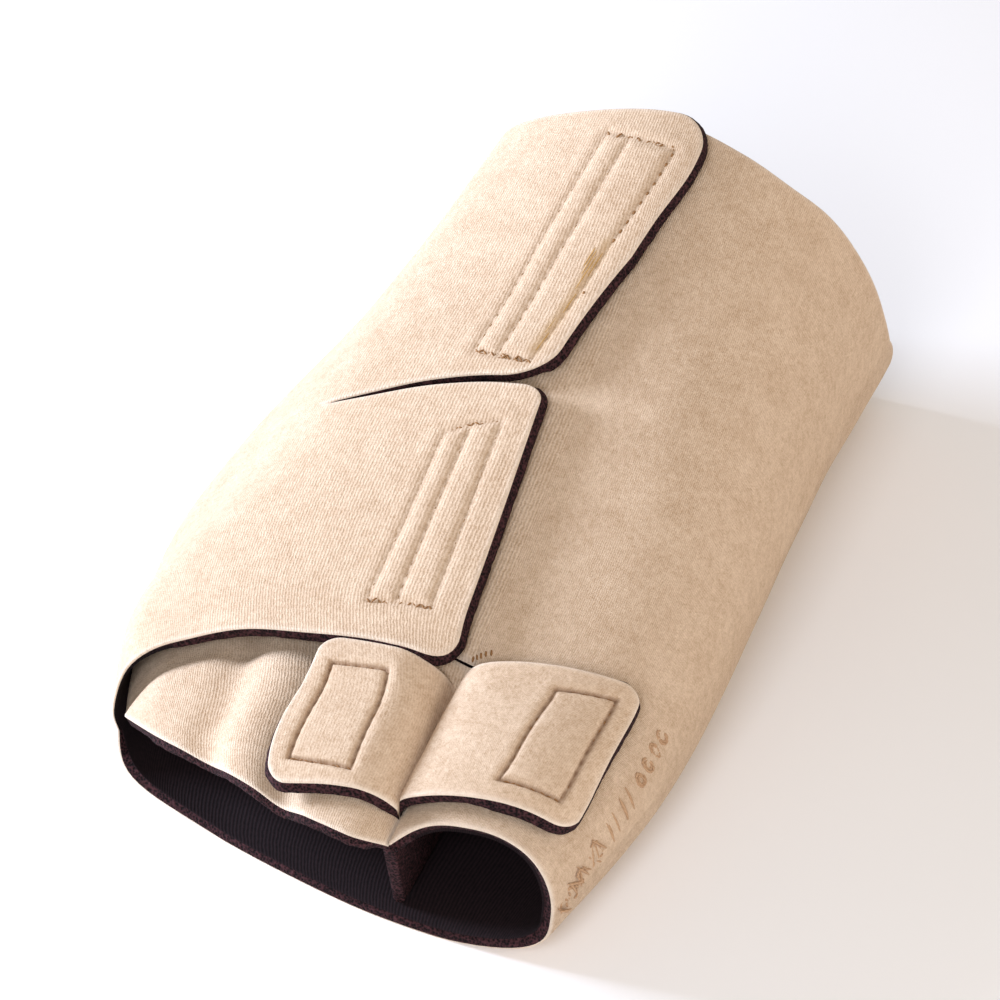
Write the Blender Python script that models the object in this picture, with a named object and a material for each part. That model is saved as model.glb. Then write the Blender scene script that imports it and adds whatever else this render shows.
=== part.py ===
"""Toe compression wrap for a right foot.

The wrap is one cut of foam laminate that goes round the forefoot: it starts as an underlap on the instep,
goes down the inner side, under the sole, up the outer side, and closes over the instep as two straps parted
by a slit. A second cut covers the lesser toes, a strip stands between the big toe and the second toe, and a
tab lies over each toe cover. Toes point to -Y, the big toe's side is +X, and the sole rests on Z = 0.

Every sheet follows one form, the outer face of the innermost layer. A place on it is a turn and a length
along the foot. The turn counts quarter turns round the foot: 0 at the inner side, 1 on the crest of the
instep and in the web beside the big toe, 2 at the outer side and 3 in the middle of the sole.
"""

import math
from typing import NamedTuple

import bmesh
import bpy
import numpy as np

MM = 0.001

# Overall size
LENGTH = 160 * MM
WIDTH = 106 * MM
HEIGHT = 80 * MM

# Layers
FABRIC = 2.4 * MM
HOOK = 1.0 * MM
DIVIDER = 2.2 * MM
CLEARANCE = 0.4 * MM
STRAP_LIFT = FABRIC + HOOK + 2 * CLEARANCE
TAB_ROOT_LIFT = FABRIC + CLEARANCE

# Details
SOLE_FLAT = 0.6 * MM
ARCH_RISE = 5.0 * MM
TOE_RIDGE = 0.9 * MM
SLIT_OPENING = 1.5 * MM
UNDERLAP_GAP = 1.0 * MM
STRAP_CORNER = 6.5 * MM
SMALL_CORNER = 3.0 * MM
TAB_CORNER = 3.5 * MM
PAD_CORNER = 0.8 * MM

HALF_WIDTH = WIDTH / 2
QUARTER_TURN = HALF_WIDTH * math.pi / 2
MERGE = 0.001 * MM


class Section(NamedTuple):
    """One cross-section: its place is a share of LENGTH, widths of HALF_WIDTH and rises of HEIGHT."""

    place: float
    outer: float
    inner: float
    crest: float
    crest_rise: float
    outer_rise: float
    inner_rise: float
    outer_power: float
    inner_power: float


SECTIONS = (
    Section(-0.560, -0.40, 0.770, 0.28, 0.290, 0.12, 0.16, 2.0, 2.2),
    Section(-0.470, -0.74, 0.830, 0.28, 0.335, 0.12, 0.16, 2.0, 2.2),
    Section(-0.375, -0.88, 0.900, 0.28, 0.370, 0.13, 0.17, 1.9, 2.2),
    Section(-0.260, -0.98, 0.955, 0.28, 0.410, 0.14, 0.18, 1.9, 2.5),
    Section(-0.130, -1.03, 0.975, 0.28, 0.490, 0.16, 0.21, 1.9, 2.5),
    Section(0.000, -0.99, 0.975, 0.28, 0.595, 0.17, 0.23, 1.9, 2.4),
    Section(0.155, -0.86, 0.965, 0.28, 0.715, 0.19, 0.24, 1.9, 2.3),
    Section(0.310, -0.71, 0.960, 0.26, 0.855, 0.21, 0.26, 1.9, 2.2),
    Section(0.470, -0.56, 0.975, 0.25, 0.970, 0.24, 0.27, 2.0, 2.2),
    Section(0.575, -0.50, 0.975, 0.25, 1.030, 0.25, 0.27, 2.0, 2.2),
)
SOLE_POWER = 3.2
ARCH_MIDDLE = 0.10
ARCH_REACH = 0.28
ARCH_START = 0.20

# The two domes over the toes: apexes as shares of HALF_WIDTH, rises as shares of HEIGHT
WEB = 0.283
BIG_TOE_APEX = 0.54
LESSER_APEX = 0.12
TOE_SIDE_RISE = 0.15
LESSER_CREST = 0.98
BIG_TOE_TURN = 0.62
LESSER_TURN = 1.16
WEB_ANGLE = math.radians(58)
WEB_TURN_LENGTH = (BIG_TOE_APEX - WEB) * HALF_WIDTH / (1 - BIG_TOE_TURN)
WEB_GAP = CLEARANCE / WEB_TURN_LENGTH
DOMES_START = -0.24
DOMES_FULL = -0.40
LESSER_TOES = 3


class EdgePoint(NamedTuple):
    """A point of a cut edge: a turn round the foot and a place along it, as a share of LENGTH."""

    turn: float
    place: float


# The wrap's turns run down from the underlap, so the straps end near -3, which is the crest again
UNDERLAP_END = 1.38
TOE_EDGE = (
    EdgePoint(1 - WEB_GAP, -0.515),
    EdgePoint(0.87, -0.494),
    EdgePoint(0.65, -0.487),
    EdgePoint(0.40, -0.488),
    EdgePoint(0.15, -0.495),
    EdgePoint(-0.30, -0.502),
    EdgePoint(-1.00, -0.497),
    EdgePoint(-1.20, -0.480),
    EdgePoint(-1.43, -0.452),
    EdgePoint(-1.73, -0.430),
    EdgePoint(-1.95, -0.408),
    EdgePoint(-2.12, -0.394),
    EdgePoint(-2.20, -0.372),
    EdgePoint(-2.29, -0.354),
    EdgePoint(-2.41, -0.337),
    EdgePoint(-2.62, -0.320),
    EdgePoint(-2.76, -0.312),
    EdgePoint(-3.00, -0.311),
)
UNDERLAP_TOE_EDGE = -0.286
MIDDLE_ROW = (
    EdgePoint(1.40, UNDERLAP_TOE_EDGE),
    EdgePoint(0.60, UNDERLAP_TOE_EDGE),
    EdgePoint(0.00, UNDERLAP_TOE_EDGE),
    EdgePoint(-1.00, -0.270),
    EdgePoint(-2.00, -0.220),
    EdgePoint(-3.00, -0.180),
)
HEEL_EDGE = (
    EdgePoint(1.40, 0.362),
    EdgePoint(1.00, 0.367),
    EdgePoint(0.79, 0.360),
    EdgePoint(0.63, 0.363),
    EdgePoint(0.48, 0.380),
    EdgePoint(0.33, 0.398),
    EdgePoint(0.17, 0.423),
    EdgePoint(-0.05, 0.467),
    EdgePoint(-0.30, 0.486),
    EdgePoint(-0.70, 0.498),
    EdgePoint(-1.00, 0.500),
    EdgePoint(-1.50, 0.496),
    EdgePoint(-1.80, 0.478),
    EdgePoint(-2.10, 0.440),
    EdgePoint(-2.40, 0.395),
    EdgePoint(-2.69, 0.362),
    EdgePoint(-2.90, 0.366),
    EdgePoint(-3.10, 0.362),
)
SLIT = (
    EdgePoint(-2.54, -0.0225),
    EdgePoint(-2.61, -0.0140),
    EdgePoint(-2.76, 0.0100),
    EdgePoint(-2.83, 0.0190),
    EdgePoint(-2.94, 0.0275),
)
SLIT_PLACE_ELSEWHERE = -0.0225


class FreeEdgePoint(NamedTuple):
    """A point of a strap's free edge: a share of the strap's width, from the toe side, and its turn."""

    share: float
    turn: float


UPPER_FREE_EDGE = (
    FreeEdgePoint(0.00, -2.94),
    FreeEdgePoint(0.20, -2.97),
    FreeEdgePoint(0.40, -2.99),
    FreeEdgePoint(0.62, -3.05),
    FreeEdgePoint(0.80, -3.09),
    FreeEdgePoint(1.00, -3.09),
)
LOWER_FREE_EDGE = (
    FreeEdgePoint(0.00, -2.98),
    FreeEdgePoint(0.50, -2.965),
    FreeEdgePoint(1.00, -2.94),
)

# Where the outer wall starts to rise over the underlap, in turns; near the toes it starts lower
RISE_TURN = 1.72
RISE_TURN_TOES = 2.16
RISE_RUN = 0.30
RISE_SHIFT_START = -0.09
RISE_SHIFT_FULL = -0.31

LESSER_COVER_OUTER_TURN = 1.90
LESSER_COVER_TOE_EDGE = (
    EdgePoint(1 + WEB_GAP, -0.516),
    EdgePoint(1.10, -0.529),
    EdgePoint(1.21, -0.526),
    EdgePoint(1.33, -0.511),
    EdgePoint(1.43, -0.497),
    EdgePoint(1.57, -0.466),
    EdgePoint(1.71, -0.433),
    EdgePoint(1.85, -0.403),
    EdgePoint(1.92, -0.394),
)
LESSER_COVER_TUCK = (
    EdgePoint(1.50, 0.0),
    EdgePoint(1.75, -0.045),
    EdgePoint(1.92, -0.078),
)


class Patch(NamedTuple):
    """A four-cornered piece: turns and places of its corners, root side first, and its corner radius."""

    root_toe: EdgePoint
    root_heel: EdgePoint
    free_toe: EdgePoint
    free_heel: EdgePoint
    radius: float


def tab_root_turn(apex, apex_turn):
    """Turn where a lifted tab starts, so that its root just clears the web's middle."""
    reach = abs(apex - WEB) * HALF_WIDTH
    radius = reach / math.sin(WEB_ANGLE)
    angle = math.asin((reach - CLEARANCE / 2) / (radius + TAB_ROOT_LIFT))
    return 1 + (apex_turn - 1) * (1 - angle / WEB_ANGLE)


BIG_TOE_ROOT = tab_root_turn(BIG_TOE_APEX, BIG_TOE_TURN)
LESSER_ROOT = tab_root_turn(LESSER_APEX, LESSER_TURN)
BIG_TOE_TAB = Patch(
    EdgePoint(BIG_TOE_ROOT, -0.476),
    EdgePoint(BIG_TOE_ROOT, -0.290),
    EdgePoint(0.280, -0.452),
    EdgePoint(0.485, -0.257),
    TAB_CORNER,
)
LESSER_TOE_TAB = Patch(
    EdgePoint(LESSER_ROOT, -0.480),
    EdgePoint(LESSER_ROOT, -0.320),
    EdgePoint(1.355, -0.503),
    EdgePoint(1.290, -0.320),
    TAB_CORNER,
)
TAB_RISE_SHARE = 0.3
UPPER_PAD = Patch(
    EdgePoint(1.21, 0.048), EdgePoint(1.16, 0.336), EdgePoint(1.085, 0.060), EdgePoint(0.99, 0.322), PAD_CORNER
)
LOWER_PAD = Patch(
    EdgePoint(1.22, -0.263), EdgePoint(1.19, -0.044), EdgePoint(1.09, -0.259), EdgePoint(1.10, -0.024), PAD_CORNER
)
LESSER_TOE_PAD = Patch(
    EdgePoint(1.18, -0.468), EdgePoint(1.17, -0.341), EdgePoint(1.30, -0.471), EdgePoint(1.27, -0.346), PAD_CORNER
)
BIG_TOE_PAD = Patch(
    EdgePoint(0.60, -0.436), EdgePoint(0.66, -0.305), EdgePoint(0.38, -0.428), EdgePoint(0.51, -0.285), PAD_CORNER
)

DIVIDER_TOE_FOOT = -0.488
DIVIDER_TOE_TOP = -0.512
DIVIDER_HEEL = -0.320
DIVIDER_TOP_GAP = DIVIDER / 2 / math.tan(WEB_ANGLE) + CLEARANCE / 2

# Mesh fineness: steps round the foot and along it
TOE_ROWS = 6
MIDDLE_ROWS = 7
HEEL_ROWS = 12
UNDERLAP_STEPS = 4
MEDIAL_STEPS = 18
SOLE_STEPS = 16
OUTER_STEPS = 9
STRAP_STEPS = 4
CORNER_STEPS = 4
COVER_STEPS = (20, 7)
TAB_STEPS = (8, 5)
PAD_STEPS = (4, 8)
DIVIDER_STEPS = (3, 6)
NORMAL_TURN_STEP = 0.002
NORMAL_STEP = 0.2 * MM

# Finishes
BEIGE = (0.78, 0.62, 0.47)
SHADED_BEIGE = (0.70, 0.54, 0.40)
PALE_BEIGE = (0.86, 0.72, 0.56)
DARK_FOAM = (0.035, 0.018, 0.022)
HOOK_BEIGE = (0.60, 0.47, 0.33)
CLOTH_ROUGHNESS = 0.95
FOAM_ROUGHNESS = 0.9
HOOK_ROUGHNESS = 0.8


def curve(points, place):
    """Smooth curve through the points' first and second columns, read at one or many places."""
    keys = np.array([point[0] for point in points], float)
    values = np.array([point[1] for point in points], float)
    if keys[0] > keys[-1]:
        keys = keys[::-1]
        values = values[::-1]
    place = np.clip(np.asarray(place, float), keys[0], keys[-1])
    slopes = np.gradient(values, keys)
    index = np.clip(np.searchsorted(keys, place, side="right") - 1, 0, len(keys) - 2)
    step = keys[index + 1] - keys[index]
    t = (place - keys[index]) / step
    start = (1 + 2 * t) * (1 - t) ** 2 * values[index] + t * (1 - t) ** 2 * step * slopes[index]
    end = t * t * (3 - 2 * t) * values[index + 1] + t * t * (t - 1) * step * slopes[index + 1]
    return start + end


def smooth(share):
    """Ease from 0 to 1 as the share goes from 0 to 1."""
    share = np.clip(share, 0, 1)
    return share * share * (3 - 2 * share)


def quarter(share, power):
    """Cosine-like and sine-like sides of a superellipse's quarter at a share of its angle."""
    across = np.abs(np.cos(share * math.pi / 2))
    up = np.abs(np.sin(share * math.pi / 2))
    radius = (across**power + up**power) ** (-1 / power)
    return across * radius, up * radius


def section_sizes(along):
    """Widths, rises and powers of the cross-section at a length along the foot."""
    sizes = {}
    for column, name in enumerate(Section._fields):
        points = [(section.place, section[column]) for section in SECTIONS]
        scale = 1.0
        if name in ("outer", "inner", "crest"):
            scale = HALF_WIDTH
        if name.endswith("_rise"):
            scale = HEIGHT
        sizes[name] = curve(points, along / LENGTH) * scale
    return sizes


def foot_outline(turn, along, size):
    """X and Z of the plain foot form: four superellipse quarters with a flat sole and an arch."""
    side = np.floor(turn).astype(int)
    share = turn - side
    side = side % 4
    middle = (size["outer"] + size["inner"]) / 2
    inner_x, inner_z = quarter(share, size["inner_power"])
    outer_x, outer_z = quarter(share, size["outer_power"])
    sole_x, sole_z = quarter(share, SOLE_POWER)
    x = np.choose(side, [
        size["crest"] + (size["inner"] - size["crest"]) * inner_x,
        size["crest"] - (size["crest"] - size["outer"]) * outer_z,
        middle - (middle - size["outer"]) * sole_x,
        middle + (size["inner"] - middle) * sole_z,
    ])
    hump = smooth(1 - np.abs(along / LENGTH - ARCH_MIDDLE) / ARCH_REACH)
    arch = ARCH_RISE * hump * np.sin(math.pi * np.clip((share - ARCH_START) / (1 - ARCH_START), 0, 1)) ** 2
    z = np.choose(side, [
        size["inner_rise"] + (size["crest_rise"] - size["inner_rise"]) * inner_z,
        size["outer_rise"] + (size["crest_rise"] - size["outer_rise"]) * outer_x,
        np.maximum(size["outer_rise"] * (1 - sole_z) - SOLE_FLAT * share, 0),
        np.maximum(size["inner_rise"] * (1 - sole_x) - SOLE_FLAT * (1 - share), 0) + arch,
    ])
    return x, z


def toe_domes(turn, size):
    """X and Z of the two domes over the toes, which meet in the web at turn 1."""
    web = WEB * HALF_WIDTH
    big_x = BIG_TOE_APEX * HALF_WIDTH
    lesser_x = LESSER_APEX * HALF_WIDTH
    side_rise = TOE_SIDE_RISE * HEIGHT
    lesser_rise = size["crest_rise"] * LESSER_CREST
    big_side, big_up = quarter(np.clip(turn / BIG_TOE_TURN, 0, 1), size["inner_power"])
    big_angle = np.clip((turn - BIG_TOE_TURN) / (1 - BIG_TOE_TURN), 0, 1) * WEB_ANGLE
    lesser_angle = np.clip((LESSER_TURN - turn) / (LESSER_TURN - 1), 0, 1) * WEB_ANGLE
    toes = np.clip((turn - LESSER_TURN) / (2 - LESSER_TURN), 0, 1)
    toes_up, toes_side = quarter(toes, size["outer_power"])
    zones = [turn < BIG_TOE_TURN, turn < 1, turn < LESSER_TURN]
    x = np.select(zones, [
        big_x + (size["inner"] - big_x) * big_side,
        big_x - (big_x - web) * np.sin(big_angle) / math.sin(WEB_ANGLE),
        lesser_x + (web - lesser_x) * np.sin(lesser_angle) / math.sin(WEB_ANGLE),
    ], lesser_x - (lesser_x - size["outer"]) * toes_side)
    ridges = TOE_RIDGE * np.sin(math.pi * LESSER_TOES * toes) ** 2 * np.sqrt(np.sin(math.pi * toes))
    z = np.select(zones, [
        size["inner_rise"] + (size["crest_rise"] - size["inner_rise"]) * big_up,
        side_rise + (size["crest_rise"] - side_rise) * np.cos(big_angle),
        side_rise + (lesser_rise - side_rise) * np.cos(lesser_angle),
    ], size["outer_rise"] + (lesser_rise - size["outer_rise"]) * toes_up - ridges)
    return x, z


def dome_share(along):
    """How far the foot outline has turned into the toe domes at a length along the foot."""
    return smooth((DOMES_START - along / LENGTH) / (DOMES_START - DOMES_FULL))


def form(turn, along):
    """Points of the form: the foot outline, which turns into the toe domes towards the toes."""
    turn = np.mod(turn, 4.0)
    size = section_sizes(along)
    x, z = foot_outline(turn, along, size)
    dome_x, dome_z = toe_domes(turn, size)
    blend = dome_share(along) * (turn < 2)
    return np.stack([x + (dome_x - x) * blend, along + 0 * x, z + (dome_z - z) * blend], axis=-1)


def surface(turn, along, lift):
    """Points that lie the given lift outside the form, along its normal."""
    turn, along, lift = np.broadcast_arrays(turn, along, lift)
    round_foot = form(turn + NORMAL_TURN_STEP, along) - form(turn - NORMAL_TURN_STEP, along)
    along_foot = form(turn, along + NORMAL_STEP) - form(turn, along - NORMAL_STEP)
    normal = np.cross(along_foot, round_foot)
    normal = normal / np.linalg.norm(normal, axis=-1, keepdims=True)
    return form(turn, along) + normal * lift[..., None]


def strap_lift(turn, along):
    """Lift of the outer wall and straps: none on the side, a layer and a pad over the underlap."""
    shift = smooth((RISE_SHIFT_START - along / LENGTH) / (RISE_SHIFT_START - RISE_SHIFT_FULL))
    start = RISE_TURN + (RISE_TURN_TOES - RISE_TURN) * shift
    return STRAP_LIFT * smooth((start - 4 - turn) / RISE_RUN) * (turn < -1)


def corner_inset(distance, radius):
    """How far a rounded corner draws an edge in, at a distance from the end of the piece."""
    short = np.clip(radius - distance, 0, radius)
    return radius - np.sqrt(radius**2 - short**2)


def sheet_object(name, points, thickness, colour, roughness, open_cells=(), centred=False):
    """Make a sheet from a grid of outer points, less its open cells, and thicken it inwards."""
    mesh = bmesh.new()
    grid = [[mesh.verts.new(point) for point in column] for column in points]
    for column in range(len(grid) - 1):
        for row in range(len(grid[0]) - 1):
            if (column, row) in open_cells:
                continue
            corners = (grid[column][row], grid[column + 1][row], grid[column + 1][row + 1], grid[column][row + 1])
            mesh.faces.new(corners).smooth = True
    loose = [vertex for vertex in mesh.verts if not vertex.link_faces]
    bmesh.ops.delete(mesh, geom=loose, context="VERTS")
    bmesh.ops.remove_doubles(mesh, verts=mesh.verts, dist=MERGE)
    bmesh.ops.triangulate(mesh, faces=mesh.faces)
    data = bpy.data.meshes.new(name)
    mesh.to_mesh(data)
    mesh.free()
    piece = bpy.data.objects.new(name, data)
    bpy.context.scene.collection.objects.link(piece)
    wall = piece.modifiers.new("Thickness", "SOLIDIFY")
    wall.thickness = thickness
    wall.offset = 0 if centred else -1
    data.materials.append(cloth(name, colour, roughness))
    return piece


def cloth(name, colour, roughness):
    """Plain material of one sub-part."""
    material = bpy.data.materials.new(name)
    material.use_nodes = True
    shader = material.node_tree.nodes["Principled BSDF"]
    shader.inputs["Base Color"].default_value = (*colour, 1)
    shader.inputs["Roughness"].default_value = roughness
    shader.inputs["Metallic"].default_value = 0
    return material


def steps(start, end, count):
    """Values from the start up to, but without, the end."""
    return list(np.linspace(start, end, count, endpoint=False))


def wrap_columns():
    """Turns of the wrap's columns up to the slit, and shares of the straps' reach past it."""
    turns = steps(UNDERLAP_END, 1 + WEB_GAP, UNDERLAP_STEPS)
    turns += [1 + WEB_GAP, 1]
    turns += steps(1 - WEB_GAP, 0, MEDIAL_STEPS)
    turns += steps(0, -2, SOLE_STEPS)
    turns += steps(-2, SLIT[0].turn, OUTER_STEPS) + [SLIT[0].turn]
    reach = abs(SLIT[-1].turn - SLIT[0].turn) * QUARTER_TURN
    corner_share = STRAP_CORNER / reach
    shares = steps(0, 1 - corner_share, STRAP_STEPS)[1:]
    for step in range(CORNER_STEPS + 1):
        shares.append(1 - corner_share * (1 - math.sin(math.pi / 2 * step / CORNER_STEPS)))
    return turns, shares


def toe_edge(turn):
    """Length along the foot of the wrap's edge at the toes."""
    if turn > 1:
        return UNDERLAP_TOE_EDGE * LENGTH
    return curve(TOE_EDGE, turn) * LENGTH


def slit_edges(turn):
    """Lengths along the foot of the slit's toe side and heel side."""
    opened = np.clip((SLIT[0].turn - turn) / (SLIT[0].turn - SLIT[-1].turn), 0, 1)
    middle = curve(SLIT, turn) * LENGTH
    if turn > SLIT[0].turn:
        middle = SLIT_PLACE_ELSEWHERE * LENGTH
    half = SLIT_OPENING / 2 * math.sqrt(opened)
    return middle - half, middle + half


def wrap_rows(toe, middle, slit_toe, slit_heel, heel):
    """Lengths along the foot of one column's rows, through the five places that they keep to."""
    toe_rows = np.linspace(toe, middle, TOE_ROWS, endpoint=False)
    middle_rows = np.linspace(middle, slit_toe, MIDDLE_ROWS + 1)
    heel_rows = np.linspace(slit_heel, heel, HEEL_ROWS + 1)
    return np.concatenate([toe_rows, middle_rows, heel_rows])


def make_foot_wrap():
    """Sole, side walls, big toe cover, underlap and the two straps, as one sheet."""
    turns, shares = wrap_columns()
    slit_row = TOE_ROWS + MIDDLE_ROWS
    points = []
    open_cells = {(column, slit_row) for column in range(len(turns) + len(shares))}
    for column, turn in enumerate(turns):
        if turn > 1 - WEB_GAP:
            open_cells |= {(column, row) for row in range(TOE_ROWS)}
        middle = curve(MIDDLE_ROW, turn) * LENGTH
        heel = curve(HEEL_EDGE, turn) * LENGTH
        along = wrap_rows(toe_edge(turn), middle, *slit_edges(turn), heel)
        points.append(surface(turn, along, strap_lift(turn, along)))
    start = SLIT[0].turn
    reach = abs(SLIT[-1].turn - start)
    for share in shares:
        turn = start - reach * share
        toe = toe_edge(turn)
        middle = curve(MIDDLE_ROW, turn) * LENGTH
        slit_toe, slit_heel = slit_edges(turn)
        heel = curve(HEEL_EDGE, turn) * LENGTH
        large = corner_inset((1 - share) * reach * QUARTER_TURN, STRAP_CORNER)
        small = corner_inset((1 - share) * reach * QUARTER_TURN, SMALL_CORNER)
        along = wrap_rows(toe + large, middle, slit_toe - small, slit_heel + large, heel - large)
        lower = curve(LOWER_FREE_EDGE, (along[: slit_row + 1] - toe) / (slit_toe - toe))
        upper = curve(UPPER_FREE_EDGE, (along[slit_row + 1 :] - slit_heel) / (heel - slit_heel))
        turn = start + (np.concatenate([lower, upper]) - start) * share
        points.append(surface(turn, along, strap_lift(turn, along)))
    return sheet_object("foot_wrap", points, FABRIC, BEIGE, CLOTH_ROUGHNESS, open_cells)


def make_lesser_toe_cover():
    """Cover over the four lesser toes, tucked under the lower strap's edge."""
    across, lengthwise = COVER_STEPS
    rows = np.linspace(0, 1, lengthwise + 1)
    points = []
    for turn in np.linspace(LESSER_COVER_OUTER_TURN, 1 + WEB_GAP, across + 1):
        toe = curve(LESSER_COVER_TOE_EDGE, turn) * LENGTH
        heel = UNDERLAP_TOE_EDGE * LENGTH - UNDERLAP_GAP + curve(LESSER_COVER_TUCK, turn) * LENGTH
        points.append(surface(turn, toe + (heel - toe) * rows, 0.0))
    return sheet_object("lesser_toe_cover", points, FABRIC, SHADED_BEIGE, CLOTH_ROUGHNESS)


def patch_points(patch, lift_root, lift_free, step_counts):
    """Outer points of a four-cornered piece with rounded corners on its free side."""
    across, lengthwise = step_counts
    corners = [surface(corner.turn, corner.place * LENGTH, 0.0) for corner in patch[:4]]
    reach = np.linalg.norm((corners[2] + corners[3] - corners[0] - corners[1]) / 2)
    length = np.linalg.norm(corners[1] - corners[0])
    corner_share = patch.radius / reach
    shares = steps(0, 1 - corner_share, across)
    for step in range(CORNER_STEPS + 1):
        shares.append(1 - corner_share * (1 - math.sin(math.pi / 2 * step / CORNER_STEPS)))
    rows = np.linspace(0, 1, lengthwise + 1)
    points = []
    for share in shares:
        inset = corner_inset((1 - share) * reach, patch.radius) / length
        row = inset + (1 - 2 * inset) * rows
        root_turn = patch.root_toe.turn + (patch.root_heel.turn - patch.root_toe.turn) * row
        free_turn = patch.free_toe.turn + (patch.free_heel.turn - patch.free_toe.turn) * row
        root_place = patch.root_toe.place + (patch.root_heel.place - patch.root_toe.place) * row
        free_place = patch.free_toe.place + (patch.free_heel.place - patch.free_toe.place) * row
        turn = root_turn + (free_turn - root_turn) * share
        place = root_place + (free_place - root_place) * share
        lift = lift_root + (lift_free - lift_root) * smooth(share / TAB_RISE_SHARE)
        points.append(surface(turn, place * LENGTH, lift))
    if patch.free_toe.turn > patch.root_toe.turn:
        points.reverse()
    return points


def make_tab(name, patch, colour):
    """Tab over a toe cover: it rises from the web to make room for its pad."""
    points = patch_points(patch, TAB_ROOT_LIFT, STRAP_LIFT, TAB_STEPS)
    return sheet_object(name, points, FABRIC, colour, CLOTH_ROUGHNESS)


def make_pad(name, patch):
    """Hook tape that lies between a strap or tab and the layer below."""
    lift = CLEARANCE + HOOK
    points = patch_points(patch, lift, lift, PAD_STEPS)
    return sheet_object(name, points, HOOK, HOOK_BEIGE, HOOK_ROUGHNESS)


def make_toe_divider():
    """Upright strip between the big toe and the second toe, from the sole to just under the web."""
    across, lengthwise = DIVIDER_STEPS
    foot = FABRIC + CLEARANCE
    points = []
    for up in np.linspace(0, 1, across + 1):
        toe = (DIVIDER_TOE_FOOT + (DIVIDER_TOE_TOP - DIVIDER_TOE_FOOT) * up) * LENGTH
        along = np.linspace(toe, DIVIDER_HEEL * LENGTH, lengthwise + 1)
        top = form(np.ones_like(along), along)
        gap = FABRIC + CLEARANCE + (DIVIDER_TOP_GAP - FABRIC - CLEARANCE) * dome_share(along)
        height = foot + (top[:, 2] - gap - foot) * up
        points.append(np.stack([top[:, 0], along, height], axis=-1))
    return sheet_object("toe_divider", points, DIVIDER, DARK_FOAM, FOAM_ROUGHNESS, centred=True)


def main():
    """Clear the scene and build every sub-part."""
    for item in list(bpy.data.objects):
        bpy.data.objects.remove(item)
    make_foot_wrap()
    make_lesser_toe_cover()
    make_toe_divider()
    make_tab("big_toe_tab", BIG_TOE_TAB, PALE_BEIGE)
    make_tab("lesser_toe_tab", LESSER_TOE_TAB, SHADED_BEIGE)
    make_pad("upper_hook_pad", UPPER_PAD)
    make_pad("lower_hook_pad", LOWER_PAD)
    make_pad("big_toe_hook_pad", BIG_TOE_PAD)
    make_pad("lesser_toe_hook_pad", LESSER_TOE_PAD)


main()
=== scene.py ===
"""Looks of a toe compression wrap for the right side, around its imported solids.

Every cut of the wrap is one foam laminate: a beige knit face with a brushed nap, a dark foam core that
shows on all cut edges, and a dark lining. Each cut is a fine grid laid on the wrap's form, thickened,
rounded at its edges and quilted where a hook pad is sewn under it. Threads are separate pieces that lie in
their own grooves.

A place on the form is a turn and a length along the wrap. The turn counts quarter turns round the wrap: 0 at
the inner side, 1 on the crest of the instep and in the web beside the big toe, 2 at the outer side and 3 in
the middle of the sole. Toes point to -Y, the big toe's side is +X, and the sole rests on Z = 0.
"""

import logging
import math
from collections.abc import Callable, Iterable, Sequence
from dataclasses import dataclass, field
from enum import Enum
from functools import cached_property
from typing import NamedTuple

import bmesh
import bpy
import numpy as np
from mathutils import Matrix, Vector, kdtree, noise


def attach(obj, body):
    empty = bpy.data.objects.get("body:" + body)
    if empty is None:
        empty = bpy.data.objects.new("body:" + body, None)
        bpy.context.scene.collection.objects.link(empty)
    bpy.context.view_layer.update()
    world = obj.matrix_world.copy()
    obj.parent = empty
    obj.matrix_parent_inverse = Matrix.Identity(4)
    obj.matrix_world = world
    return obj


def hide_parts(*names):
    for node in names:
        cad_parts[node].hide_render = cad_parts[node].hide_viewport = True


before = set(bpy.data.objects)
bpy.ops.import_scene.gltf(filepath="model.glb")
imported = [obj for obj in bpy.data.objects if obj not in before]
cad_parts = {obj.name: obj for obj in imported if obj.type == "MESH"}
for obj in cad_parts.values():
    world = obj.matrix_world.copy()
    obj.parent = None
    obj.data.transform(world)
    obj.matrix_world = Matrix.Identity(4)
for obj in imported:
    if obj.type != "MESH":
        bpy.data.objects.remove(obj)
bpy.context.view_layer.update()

MM = 0.001
TINY = 1e-12
log = logging.getLogger("toe_wrap")

Array = np.ndarray
Colour = tuple[float, float, float, float]
Locate = Callable[[Array, Array, Array], Array]


def linear(code: str) -> Colour:
    """Turn an sRGB hex colour into linear RGBA.

    Args:
        code: Six hex digits, with or without a leading hash.

    Returns:
        The linear colour with an alpha of 1.
    """
    digits = code.lstrip("#")
    channels = [int(digits[place:place + 2], 16) / 255 for place in (0, 2, 4)]
    values = [c / 12.92 if c <= 0.04045 else ((c + 0.055) / 1.055) ** 2.4 for c in channels]
    return (values[0], values[1], values[2], 1.0)


def add_node(
    tree: bpy.types.NodeTree, kind: str, settings: dict[str, object] | None = None,
    links: dict[str | int, object] | None = None,
) -> bpy.types.Node:
    """Add a node to a tree.

    Args:
        tree: The node tree.
        kind: The node's type, such as ShaderNodeMath.
        settings: Attributes to set on the node.
        links: Input names or indices, each with a socket to link or a value to set.

    Returns:
        The new node.
    """
    node = tree.nodes.new(kind)
    for name, value in (settings or {}).items():
        setattr(node, name, value)
    for name, value in (links or {}).items():
        if isinstance(value, bpy.types.NodeSocket):
            tree.links.new(value, node.inputs[name])
        else:
            node.inputs[name].default_value = value
    return node


def smooth(share: Array | float) -> Array:
    """Ease from 0 to 1 as the share goes from 0 to 1."""
    share = np.clip(share, 0, 1)
    return share * share * (3 - 2 * share)


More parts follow.
